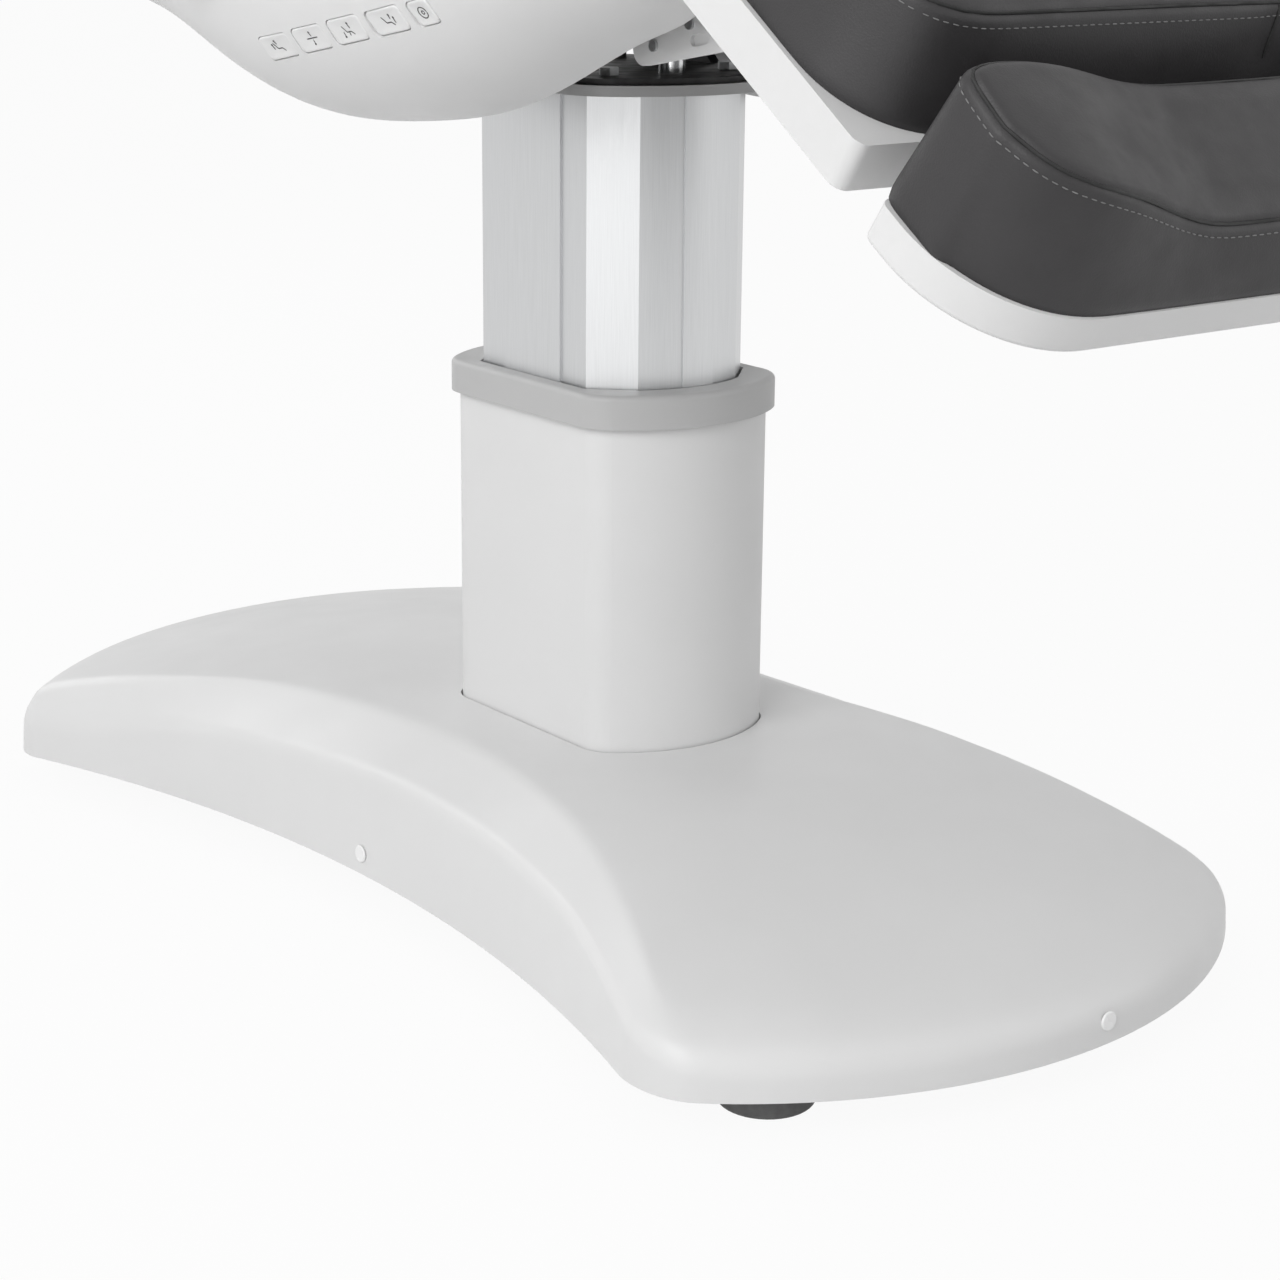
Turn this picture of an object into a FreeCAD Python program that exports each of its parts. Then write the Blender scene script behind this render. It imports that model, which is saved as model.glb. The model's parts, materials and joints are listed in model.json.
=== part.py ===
"""Electric beauty chair on a lifting column, as separate sub-parts. Millimetres, +Z up.

Origin: on the floor, on the column's axis. The leg rest points to -Y, the sitter's right is -X.
The seat, leg rest and back rest are each drawn flat, with their upholstery up, and then turned
into the stored pose: seat tilted, leg rest lowered, back rest raised.
"""
import FreeCAD, Part
import math
import os

# Stored pose, in degrees
seat_tilt = 10.0
leg_drop = 35.0
back_rise = 53.0

# Base cover
skirt_bottom = 25.0
base_top = 127.0
base_waist = 192.0
base_side_r = 1135.0
base_front_end_r = 352.0
base_rear_end_r = 374.0
base_front = 478.0
base_rear = 542.0
base_corner_r = 32.0
base_draft = 7.0
base_wall = 4.0
base_flat_r = 140.0
base_fall_r = 1340.0
bevel_drop = 50.0
bevel_over = 10.0
bevel_low_half = 235.0
bevel_low_r = 6800.0
bevel_top_half = 133.0
bevel_top_r = 1000.0

# Feet, screw caps and mains inlet
puck_r = 31.0
puck_height = 18.0
puck_edge_r = 4.5
puck_stem_r = 6.0
puck_front_x = 157.0
puck_front_y = -370.0
puck_rear_x = 180.0
puck_rear_y = 410.0
cap_r = 6.3
cap_stem_r = 3.0
cap_stem = 12.0
cap_proud = 2.0
cap_lift = 0.5
cap_crown_r = 1.0
cap_rise = 17.0
cap_gap = 0.1
cap_side_y = 35.0
cap_front_x = 25.0
inlet_width = 28.0
inlet_height = 22.0
inlet_depth = 40.0
inlet_flange = 5.0
inlet_wall = 3.0
inlet_pocket = 16.0
inlet_lift = 1.0
inlet_proud = 2.0
inlet_blade = 1.5
inlet_pitch = 7.0

# Base frame
frame_bottom = 30.0
beam_width = 40.0
beam_height = 30.0
beam_front = 395.0
beam_rear = 430.0
beam_inner = 82.0
cross_front_half = 190.0
cross_rear_half = 212.0
flange_thick = 10.0
tab_half = 12.0
tab_height = 14.0

# Column
column_half = 75.3
column_reach = 114.0
column_end_r = 104.0
column_corner_r = 25.0
column_wall = 4.5
column_seam = 2.0
sleeve_top = 354.0
ring_height = 23.0
ring_overhang = 6.0
ring_gap = 2.2
ring_edge_r = 4.0
inner_half = 67.0
inner_flat = 61.0
inner_chamfer = 25.0
chamfer_turn = 45.0
inner_bulge = 11.0
inner_wall = 5.0
inner_bottom = 235.0
inner_top = 572.0
panel_proud = 1.5
side_panel_half = 33.0
end_panel_half = 13.0
slide_gap = 0.4
glide_length = 60.0
glide_half = 20.0
glide_end_half = 8.0

# Head plate and seat tilt
head_thick = 7.0
head_half = 86.0
head_reach = 118.0
head_end_r = 112.0
head_corner_r = 42.0
tilt_flange_inset = 5.0
tilt_flange_thick = 4.0
tilt_plate_inner = 72.0
tilt_plate_thick = 8.0
tilt_pivot_y = 75.0
tilt_rise = 61.0
tilt_pin_r = 9.0
tilt_pin_head = 3.0
tilt_pin_grip = 10.0
tilt_boss_r = 17.0
tilt_rod_y = -65.0
tilt_rod_r = 9.0
tilt_tube_r = 18.0
tilt_tube_length = 182.0
tilt_rod_below = 145.0
tilt_slot_gap = 1.2
tilt_slot_half = 12.0
pin_gap = 0.05
running_gap = 0.3
eye_half = 7.0
eye_r = 11.0
tilt_neck = 20.0
cross_pin_r = 6.0
bolt_r = 4.0
bolt_head_r = 7.0
bolt_head = 5.0
bolt_sides = 6
bolt_x = 50.0
bolt_y = 62.0

# Lift
tube_floor = 8.0
lift_y = 38.0
lift_tube_r = 27.0
lift_tube_top = 330.0
lift_rod_r = 17.0
lift_rod_bottom = 242.0
lift_motor_r = 28.0
lift_motor_y = -42.0
lift_motor_top = 165.0
gearbox_half = 30.0
gearbox_height = 18.0

# Seat, leg rest and back rest: hinge lines and sections, drawn flat
knee_y = -332.0
back_y = 168.0
hinge_rise = 65.0
shell_depth = 40.0
rim_height = 28.0
shell_wall = 4.0
shell_width = 540.0
shell_corner_r = 38.0
leg_corner_r = 8.0
leg_pad_corner_r = 60.0
shell_edge_r = 5.0
hinge_corner_r = 12.0
end_cut = 48.0
pad_end = 16.0
pad_fit = 0.5
pad_step = 2.0
pad_top = 50.0
pad_lean = 17.0
pad_draw_in = 4.0
pad_edge_r = 8.0
leg_length = 300.0
leg_end_lean = 15.0
leg_dip = 10.0
leg_dip_inset = 130.0
leg_ridge = 5.0
seat_dip = 17.0
bolster_width = 80.0
bolster_crown = 5.0
back_length = 588.0
back_step = 47.0
back_taper = 34.0
back_cross_inset = 75.0
back_dip = 20.0
back_bolster_rise = 12.0

# Foot rest
foot_gap = 26.0
foot_length = 92.0
foot_corner_r = 75.0
foot_top_corner_r = 58.0
foot_rear_r = 16.0
foot_heel_r = 6.0
foot_drop = 4.0
foot_rim = 22.0
foot_edge_r = 3.0
foot_overhang = 8.0
foot_bolster = 58.0
foot_middle_rear = 48.0
foot_front_side = 44.0
foot_front_low = 10.0
foot_lean = 10.0
foot_front_lean = 14.0
foot_rod_r = 8.0
foot_rod_x = 100.0
foot_rod_length = 245.0
foot_tube_r = 12.0
foot_plate_thick = 8.0

# Frames
rail_middle = 105.0
rail_width = 30.0
rail_height = 40.0
rail_wall = 3.0
rail_setback = 30.0
lug_thick = 8.0
lug_gap = 1.0
lug_r = 13.0
lug_root = 70.0
lug_slant = 32.0
hinge_pin_r = 7.0
hinge_head_r = 10.0
hinge_head = 3.0
swing_width = 25.0
swing_height = 25.0
swing_start = 82.0
tie_thick = 8.0
tie_width = 38.0

# Actuators under the seat
actuator_drop = 67.0
actuator_x = 50.0
actuator_tube_r = 18.0
actuator_rod_r = 9.0
motor_r = 21.0
motor_length = 80.0
motor_drop = 41.0
saddle_half = 10.0
lever_thick = 6.0
leg_middle = 32.5
back_middle = 40.0
leg_slot_gap = 2.2
back_slot_gap = 3.4
leg_pin_lead = 1.2
back_pin_lead = 2.9
rod_neck = 32.0
slot_wall = 5.0
tube_front = -225.0
leg_tube_length = 200.0
back_tube_length = 295.0
leg_rod_length = 206.0
back_rod_length = 215.0

# Side covers and buttons
cover_proud = 2.0
cover_round = 117.0
cover_wall = 4.0
cover_lip = 15.0
cover_depths = ((-300.0, 66.0), (-235.0, 85.0), (-155.0, 102.0), (-75.0, 112.0), (5.0, 109.0),
                (75.0, 96.0), (130.0, 64.0), (176.0, 24.0))
button_drop = 57.0
button_first = 20.5
button_pitch = 43.7
button_width = 36.0
button_narrow = 21.0
button_height = 17.5
button_corner_r = 4.0
button_depth = 9.0
button_proud = 0.6
button_gap = 0.5
button_count = 5
bracket_front = -280.0
bracket_rear = -188.0
bracket_height = 112.0
bracket_thick = 5.0
bracket_corner_r = 10.0
bracket_screw_r = 3.5
bracket_screw_head = 1.75
bracket_shank_r = 1.75
bracket_screw_places = ((21.0, 10.5), (57.0, 19.0))
bracket_pocket = (64.0, 9.0)
pocket_half = 5.0
pocket_r = 3.5
pocket_deep = 2.5
spacer_inset = 35.0

# Control box
control_inset = 45.0
control_width = 60.0
control_front = -120.0
control_length = 150.0
control_height = 46.0

# Armrests
arm_bar_y = 55.0
arm_bar_width = 36.0
arm_bar_height = 20.0
arm_post_clear = 14.0
arm_post_thick = 10.0
arm_rise = 147.0
arm_post_over = 14.0
arm_gap = 1.0
arm_plate_thick = 10.0
arm_plate_height = 26.0
arm_length = 340.0
arm_pad_width = 76.0
arm_pad_thick = 46.0
arm_pad_lean = 8.0
arm_pad_corner_r = 24.0
arm_pin_r = 8.0
arm_pin_head = 3.0

# Headrest
headrest_gap = 30.0
headrest_length = 165.0
headrest_half = 150.0
headrest_low = -16.0
headrest_high = 58.0
headrest_corner_r = 45.0
headrest_dip = 14.0
headrest_rod_r = 7.0
headrest_rod_x = 62.0
headrest_rod_inside = 150.0
headrest_tube_r = 11.0

# Worked-out heights and places
head_top = inner_top + head_thick
flange_top = head_top + tilt_flange_thick
tilt_pivot_z = head_top + tilt_rise
hinge_z = tilt_pivot_z + hinge_rise
shell_half = shell_width / 2
shell_bottom = hinge_z - shell_depth
rim_z = shell_bottom + rim_height
rail_bottom = shell_bottom - rail_height
rail_inner = rail_middle - rail_width / 2
rail_outer = rail_middle + rail_width / 2
lug_outer = rail_outer + lug_thick
swing_lug_inner = lug_outer + lug_gap
swing_inner = swing_lug_inner + lug_thick
swing_outer = swing_inner + swing_width
swing_bottom = shell_bottom - swing_height
tie_bottom = shell_bottom - tie_thick
actuator_z = hinge_z - actuator_drop
frame_top = frame_bottom + beam_height
column_foot = frame_bottom + flange_thick
ring_top = sleeve_top + ring_height
leg_end_y = knee_y - leg_length
foot_rear_edge = leg_end_y - foot_gap
foot_front_edge = foot_rear_edge - foot_length
back_end_y = back_y + back_length
leg_dip_x = shell_half - leg_dip_inset
seat_bolster_x = shell_half - bolster_width
back_top_half = shell_half - back_taper
cover_half = shell_half + cover_proud
cover_widest = shell_bottom - cover_lip
button_z = cover_widest - button_drop
bracket_low = shell_bottom - bracket_height
control_inner = shell_half - control_inset - control_width
arm_post_inner = shell_half + arm_post_clear
arm_pivot_z = hinge_z + arm_rise


def vec(x, y, z):
    return FreeCAD.Vector(x, y, z)


def box(low, high):
    return Part.makeBox(high[0] - low[0], high[1] - low[1], high[2] - low[2], vec(*low))


def rod(start, direction, radius, length):
    return Part.makeCylinder(radius, length, vec(*start), vec(*direction))


def line(a, b):
    return Part.makeLine(a, b)


def arc(a, middle, b):
    return Part.Arc(a, middle, b).toShape()


def plate_x(points, x_low, x_high):
    """A flat plate across X, with its outline given as (y, z) corners."""
    corners = [vec(x_low, y, z) for y, z in points]
    face = Part.Face(Part.makePolygon(corners + corners[:1]))
    return face.extrude(vec(x_high - x_low, 0, 0))


def mirrored(shape):
    return shape.mirror(vec(0, 0, 0), vec(1, 0, 0))


def pair(shape):
    return [shape, mirrored(shape)]


def joined(shapes):
    solid = shapes[0].multiFuse(shapes[1:])
    return solid.removeSplitter()


def turned(shape, angle, y, z):
    """The shape turned about the line along X through (y, z); a positive angle lifts +Y."""
    result = shape.copy()
    result.rotate(vec(0, y, z), vec(1, 0, 0), angle)
    return result


def on_seat(shape):
    return turned(shape, -seat_tilt, tilt_pivot_y, tilt_pivot_z)


def on_leg(shape):
    """Drawn flat in line with the seat, lowered about the knee, then tilted with the seat."""
    return on_seat(turned(shape, leg_drop + seat_tilt, knee_y, hinge_z))


def on_back(shape):
    """Drawn flat in line with the seat, raised about the back hinge, then tilted with the seat."""
    return on_seat(turned(shape, back_rise + seat_tilt, back_y, hinge_z))


def export(name, shape):
    shape.exportStep("parts/" + name + ".step")


def circles_meet(centre_a, radius_a, centre_b, radius_b):
    """Both crossings of two circles in a plane."""
    dx = centre_b[0] - centre_a[0]
    dy = centre_b[1] - centre_a[1]
    gap = math.hypot(dx, dy)
    along = (radius_a ** 2 - radius_b ** 2 + gap ** 2) / (2 * gap)
    across = math.sqrt(radius_a ** 2 - along ** 2)
    x = centre_a[0] + along * dx / gap
    y = centre_a[1] + along * dy / gap
    return [(x + across * dy / gap, y - across * dx / gap),
            (x - across * dy / gap, y + across * dx / gap)]


def toward(start, target, distance):
    """The point at a distance from start on the way to target."""
    gap = math.hypot(target[0] - start[0], target[1] - start[1])
    return (start[0] + (target[0] - start[0]) * distance / gap,
            start[1] + (target[1] - start[1]) * distance / gap)


def halfway(a, b):
    return ((a[0] + b[0]) / 2, (a[1] + b[1]) / 2)


def base_corner(inset, outward):
    """Where the rounded corner at +X leaves the side, its crest, and where it meets the end."""
    reach, bow_r = (base_rear, base_rear_end_r) if outward > 0 else (base_front, base_front_end_r)
    side_centre = (base_waist + base_side_r, 0.0)
    end_centre = (0.0, outward * (reach - bow_r))
    corner_r = base_corner_r - inset
    side_r = base_side_r + inset
    end_r = bow_r - inset
    meets = circles_meet(end_centre, end_r - corner_r, side_centre, side_r + corner_r)
    centre = max(meets, key=lambda point: point[1] * outward)
    on_side = toward(side_centre, centre, side_r)
    on_end = toward(end_centre, centre, end_r)
    crest = toward(centre, toward(centre, halfway(on_side, on_end), 1.0), corner_r)
    return on_side, crest, on_end


def base_outline(inset, z):
    """Plan of the base: drawn-in sides, rounded corners and bowed ends."""
    front_side, front_crest, front_end = base_corner(inset, -1)
    rear_side, rear_crest, rear_end = base_corner(inset, 1)

    def at(point, sign):
        return vec(sign * point[0], point[1], z)

    edges = [arc(at(front_end, -1), vec(0, inset - base_front, z), at(front_end, 1)),
             arc(at(front_end, 1), at(front_crest, 1), at(front_side, 1)),
             arc(at(front_side, 1), vec(base_waist - inset, 0, z), at(rear_side, 1)),
             arc(at(rear_side, 1), at(rear_crest, 1), at(rear_end, 1)),
             arc(at(rear_end, 1), vec(0, base_rear - inset, z), at(rear_end, -1)),
             arc(at(rear_end, -1), at(rear_crest, -1), at(rear_side, -1)),
             arc(at(rear_side, -1), vec(inset - base_waist, 0, z), at(front_side, -1)),
             arc(at(front_side, -1), at(front_crest, -1), at(front_end, -1))]
    return Part.Wire(edges)


def base_fall(inset, z_low):
    """Everything under the base's domed top: flat at the column, falling all round."""
    top = base_top - inset
    low = z_low - base_top
    angle = math.asin((base_rear + base_front - base_flat_r) / base_fall_r)

    def fall(turn):
        return vec(base_flat_r + base_fall_r * math.sin(turn), 0,
                   top - base_fall_r * (1 - math.cos(turn)))

    rim = fall(angle)
    edge = vec(base_flat_r, 0, top)
    corners = [edge, vec(0, 0, top), vec(0, 0, low), vec(rim.x, 0, low), rim]
    sides = [line(corners[i], corners[i + 1]) for i in range(len(corners) - 1)]
    profile = Part.Face(Part.Wire(sides + [arc(rim, fall(angle / 2), edge)]))
    return profile.revolve(vec(0, 0, 0), vec(0, 0, 1), 360)


def base_bevel(inset):
    """What the sloping band takes off the +X side, ruled between two drawn-in lines."""
    stretch = (bevel_drop + bevel_over) / bevel_drop
    low_half = bevel_low_half - inset
    waist = low_half - (bevel_low_half - bevel_top_half) * stretch
    far = base_rear + base_corner_r
    bow = stretch * far ** 2 / (2 * bevel_top_r)
    low_bow = far ** 2 / (2 * bevel_low_r)
    outer = bevel_low_half + base_rear
    z_low = base_top - inset - bevel_drop
    z_high = base_top - inset + bevel_over

    def ring(x_middle, x_end, z):
        corners = [vec(x_end, -far, z), vec(outer, -far, z), vec(outer, far, z), vec(x_end, far, z)]
        sides = [line(corners[i], corners[i + 1]) for i in range(len(corners) - 1)]
        return Part.Wire(sides + [arc(corners[-1], vec(x_middle, 0, z), corners[0])])

    low = ring(low_half, low_half + low_bow, z_low)
    high = ring(waist, waist + bow, z_high)
    return Part.makeLoft([low, high], True, True)


def base_form(inset, z_low):
    plans = [base_outline(inset, z_low), base_outline(inset + base_draft, base_top)]
    skirt = Part.makeLoft(plans, True, True)
    form = skirt.common(base_fall(inset, z_low))
    for cutter in pair(base_bevel(inset)):
        form = form.cut(cutter)
    return form


def rounded_wire(half, reach, end_r, corner_r, z):
    """Flat sides, bowed ends and rounded corners, as on the column."""
    centre_y = reach - end_r
    corner_x = half - corner_r
    corner_y = centre_y + math.sqrt((end_r - corner_r) ** 2 - corner_x ** 2)
    on_end = toward((0.0, centre_y), (corner_x, corner_y), end_r)
    crest = toward((corner_x, corner_y), halfway((half, corner_y), on_end), corner_r)

    def at(point, x_sign, y_sign):
        return vec(x_sign * point[0], y_sign * point[1], z)

    side = (half, corner_y)
    edges = []
    for x, y in ((1, 1), (-1, -1)):
        edges.append(line(at(side, x, -y), at(side, x, y)))
        edges.append(arc(at(side, x, y), at(crest, x, y), at(on_end, x, y)))
        edges.append(arc(at(on_end, x, y), vec(0, y * reach, z), at(on_end, -x, y)))
        edges.append(arc(at(on_end, -x, y), at(crest, -x, y), at(side, -x, y)))
    return Part.Wire(edges)


def column_wire(offset, z):
    return rounded_wire(column_half + offset, column_reach + offset, column_end_r + offset,
                        column_corner_r + offset, z)


def head_wire(offset, z):
    return rounded_wire(head_half + offset, head_reach + offset, head_end_r + offset,
                        head_corner_r + offset, z)


def profile_wire(offset, z):
    """The inner column: flat sides, sloped corners and slightly bowed ends."""
    miter = offset * math.tan(math.radians(chamfer_turn / 2))
    half = inner_half + offset
    flat = inner_flat + miter
    end_x = inner_half - inner_chamfer + miter
    end_y = inner_flat + inner_chamfer + offset
    crest = end_y + inner_bulge
    edges = []
    for sign in (1, -1):
        edges.append(line(vec(sign * half, -sign * flat, z), vec(sign * half, sign * flat, z)))
        edges.append(line(vec(sign * half, sign * flat, z), vec(sign * end_x, sign * end_y, z)))
        edges.append(arc(vec(sign * end_x, sign * end_y, z), vec(0, sign * crest, z),
                         vec(-sign * end_x, sign * end_y, z)))
        edges.append(line(vec(-sign * end_x, sign * end_y, z), vec(-sign * half, sign * flat, z)))
    return Part.Wire(edges)


def upright(wire, height):
    return Part.Face(wire).extrude(vec(0, 0, height))


def skirt_inset(z):
    """How far the drafted skirt has drawn in at a height."""
    return base_draft * (z - skirt_bottom) / (base_top - skirt_bottom)


def side_reach(y, inset):
    """Half-width of the base at a place along it."""
    return base_waist - inset + base_side_r - math.sqrt(base_side_r ** 2 - y ** 2)


def front_reach(x, inset):
    """How far the base's front end stands out at a place across it."""
    return base_front - inset - base_front_end_r + math.sqrt(base_front_end_r ** 2 - x ** 2)


def make_base():
    cap_z = skirt_bottom + cap_rise
    inset = skirt_inset(cap_z)
    outer = base_form(0.0, skirt_bottom)
    cover = outer.cut(base_form(base_wall, skirt_bottom))
    opening = upright(column_wire(column_seam, skirt_bottom), base_top)
    cover = cover.cut(opening)

    side_x = side_reach(cap_side_y, inset)
    cap_seats = [((side_x, cap_side_y, cap_z), (1, 0, 0)),
                 ((-side_x, cap_side_y, cap_z), (-1, 0, 0)),
                 ((cap_front_x, -front_reach(cap_front_x, inset), cap_z), (0, -1, 0))]
    caps = []
    for place, way in cap_seats:
        root = [place[i] - way[i] * cap_stem for i in range(3)]
        tip = [place[i] + way[i] * cap_proud for i in range(3)]
        head_root = [place[i] + way[i] * cap_lift for i in range(3)]
        head = rod(head_root, way, cap_r, cap_proud - cap_lift)
        crown = [edge for edge in head.Edges if (edge.CenterOfMass - vec(*tip)).Length < cap_lift]
        head = head.makeFillet(cap_crown_r, crown)
        caps.append(head.fuse(rod(root, way, cap_stem_r, cap_stem + cap_lift)).removeSplitter())
        cover = cover.cut(rod(root, way, cap_stem_r + cap_gap, cap_stem + cap_proud))

    face_y = base_rear - inset
    inlet_low = cap_z - inlet_height / 2
    inlet_high = inlet_low + inlet_height
    inlet_half = inlet_width / 2
    mouth_y = face_y + inlet_proud
    inlet = box((-inlet_half, face_y - inlet_depth, inlet_low), (inlet_half, mouth_y, inlet_high))
    cover = cover.cut(inlet)
    edge = inlet_flange
    flange = box((-inlet_half - edge, face_y + inlet_lift, inlet_low - edge),
                 (inlet_half + edge, mouth_y, inlet_high + edge))
    pocket = box((inlet_wall - inlet_half, mouth_y - inlet_pocket, inlet_low + inlet_wall),
                 (inlet_half - inlet_wall, mouth_y, inlet_high - inlet_wall))
    inlet = inlet.fuse(flange).cut(pocket).removeSplitter()
    for x in (-inlet_pitch, 0.0, inlet_pitch):
        inlet = inlet.fuse(box((x - inlet_blade / 2, face_y - inlet_pocket, cap_z - inlet_wall),
                               (x + inlet_blade / 2, face_y - inlet_wall, cap_z + inlet_wall)))

    beams = []
    for sign in (1, -1):
        low_x, high_x = sorted((sign * beam_inner, sign * (beam_inner + beam_width)))
        beams.append(box((low_x, -beam_front, frame_bottom), (high_x, beam_rear, frame_top)))
    beams.append(box((-cross_front_half, -beam_front, frame_bottom),
                     (cross_front_half, beam_width - beam_front, frame_top)))
    beams.append(box((-cross_rear_half, beam_rear - beam_width, frame_bottom),
                     (cross_rear_half, beam_rear, frame_top)))
    beams.append(box((-beam_inner, -column_reach - beam_width, frame_bottom),
                     (beam_inner, column_reach + beam_width, column_foot)))
    tab_low = cap_z - tab_height / 2
    tab_top = cap_z + tab_height / 2
    skin = base_wall + running_gap + skirt_inset(tab_top)
    side_tab = box((beam_inner + beam_width, cap_side_y - tab_half, tab_low),
                   (side_reach(cap_side_y - tab_half, skin), cap_side_y + tab_half, tab_top))
    beams += pair(side_tab)
    beams.append(box((cap_front_x - tab_half, -front_reach(cap_front_x + tab_half, skin), tab_low),
                     (cap_front_x + tab_half, -beam_front, tab_top)))
    beams.append(box((-tab_half, beam_rear, tab_low), (tab_half, face_y - inlet_depth, tab_top)))
    frame = joined(beams)
    for place, way in cap_seats:
        root = [place[i] - way[i] * cap_stem for i in range(3)]
        frame = frame.cut(rod(root, way, cap_stem_r + cap_gap, cap_stem))

    feet = []
    for x, y in ((puck_front_x, puck_front_y), (puck_rear_x, puck_rear_y)):
        for sign in (1, -1):
            puck = rod((sign * x, y, 0), (0, 0, 1), puck_r, puck_height)
            rims = [edge for edge in puck.Edges if edge.Curve.TypeId == "Part::GeomCircle"]
            puck = puck.makeFillet(puck_edge_r, rims)
            stem = rod((sign * x, y, puck_height), (0, 0, 1), puck_stem_r, frame_bottom - puck_height)
            feet.append(puck.fuse(stem).removeSplitter())

    export("base_cover", cover)
    export("base_frame", frame)
    export("levelling_feet", Part.makeCompound(feet))
    export("cover_screw_caps", Part.makeCompound(caps))
    export("mains_inlet", inlet)


def make_column():
    outer = upright(column_wire(0.0, column_foot), sleeve_top - column_foot)
    outer = outer.cut(upright(column_wire(-column_wall, column_foot), sleeve_top - column_foot))
    ring = upright(column_wire(ring_overhang, sleeve_top), ring_height)
    rim = [edge for edge in ring.Edges if abs(edge.BoundBox.ZMin - ring_top) < pin_gap]
    ring = ring.makeFillet(ring_edge_r, rim)
    ring = ring.cut(upright(profile_wire(ring_gap, sleeve_top), ring_height))

    height = inner_top - inner_bottom
    inner = upright(profile_wire(0.0, inner_bottom), height)
    end_y = inner_flat + inner_chamfer + inner_bulge
    proud = upright(profile_wire(panel_proud, inner_bottom), height)
    side_slab = box((-column_half, -side_panel_half, inner_bottom), (column_half, side_panel_half, inner_top))
    end_slab = box((-end_panel_half, -column_reach, inner_bottom), (end_panel_half, column_reach, inner_top))
    inner = inner.multiFuse([proud.common(side_slab), proud.common(end_slab)]).removeSplitter()
    inner = inner.cut(upright(profile_wire(-inner_wall, inner_bottom), height))

    glides = []
    glide_low = sleeve_top - glide_length
    for sign in (1, -1):
        low_x, high_x = sorted((sign * (inner_half + panel_proud + slide_gap),
                                 sign * (column_half - column_wall)))
        glides.append(box((low_x, -glide_half, glide_low), (high_x, glide_half, sleeve_top)))
        low_y, high_y = sorted((sign * (end_y + panel_proud + slide_gap),
                                 sign * (column_reach - column_wall - slide_gap)))
        glides.append(box((-glide_end_half, low_y, glide_low), (glide_end_half, high_y, sleeve_top)))

    tube = rod((0, lift_y, column_foot), (0, 0, 1), lift_tube_r, lift_tube_top - column_foot)
    motor = rod((0, lift_motor_y, column_foot), (0, 0, 1), lift_motor_r, lift_motor_top - column_foot)
    gearbox = box((-gearbox_half, lift_motor_y - lift_motor_r, column_foot),
                  (gearbox_half, lift_y + lift_tube_r, column_foot + gearbox_height))
    bore = rod((0, lift_y, column_foot + tube_floor), (0, 0, 1), lift_rod_r + running_gap, lift_tube_top)
    lift = joined([tube, motor, gearbox]).cut(bore)
    lift_rod = rod((0, lift_y, lift_rod_bottom), (0, 0, 1), lift_rod_r, inner_top - lift_rod_bottom)

    rod_hole = rod((0, tilt_rod_y, inner_top), (0, 0, 1), tilt_rod_r + running_gap, flange_top - inner_top)
    bolt_places = [(x, y) for x in (-bolt_x, bolt_x) for y in (-bolt_y, bolt_y)]
    bolt_holes = [rod((x, y, inner_top), (0, 0, 1), bolt_r + pin_gap, flange_top - inner_top)
                  for x, y in bolt_places]
    plate = upright(head_wire(0.0, inner_top), head_thick).cut(rod_hole)
    flange = upright(head_wire(-tilt_flange_inset, head_top), tilt_flange_thick).cut(rod_hole)
    for hole in bolt_holes:
        plate = plate.cut(hole)
        flange = flange.cut(hole)
    reach = tilt_boss_r
    low_y, high_y = tilt_pivot_y - reach, tilt_pivot_y + reach
    low_z, high_z = tilt_pivot_z - reach / 2, tilt_pivot_z + reach / 2
    cheek = plate_x([(-reach, flange_top), (low_y, flange_top), (high_y, low_z), (high_y, high_z),
                     (tilt_pivot_y + reach / 2, tilt_pivot_z + reach),
                     (tilt_pivot_y - reach / 2, tilt_pivot_z + reach), (low_y, high_z)],
                    tilt_plate_inner, tilt_plate_inner + tilt_plate_thick)
    pin_bore = rod((0, tilt_pivot_y, tilt_pivot_z), (1, 0, 0), tilt_pin_r + pin_gap, rail_outer)
    cheek = cheek.cut(pin_bore)
    bracket = joined([flange] + pair(cheek))
    pin_end = rail_inner + tilt_pin_grip
    pin = rod((tilt_plate_inner, tilt_pivot_y, tilt_pivot_z), (1, 0, 0), tilt_pin_r,
              pin_end - tilt_plate_inner)
    head = rod((tilt_plate_inner - tilt_pin_head, tilt_pivot_y, tilt_pivot_z), (1, 0, 0),
               tilt_pin_r + tilt_pin_head, tilt_pin_head)
    pin = pin.fuse(head).removeSplitter()
    bolts = []
    for x, y in bolt_places:
        shank = rod((x, y, inner_top), (0, 0, 1), bolt_r, flange_top - inner_top)
        corners = []
        for step in range(bolt_sides):
            angle = 2 * math.pi * step / bolt_sides
            corners.append(vec(x + bolt_head_r * math.cos(angle), y + bolt_head_r * math.sin(angle),
                               flange_top))
        cap = Part.Face(Part.makePolygon(corners + corners[:1])).extrude(vec(0, 0, bolt_head))
        bolts.append(shank.fuse(cap).removeSplitter())

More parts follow.
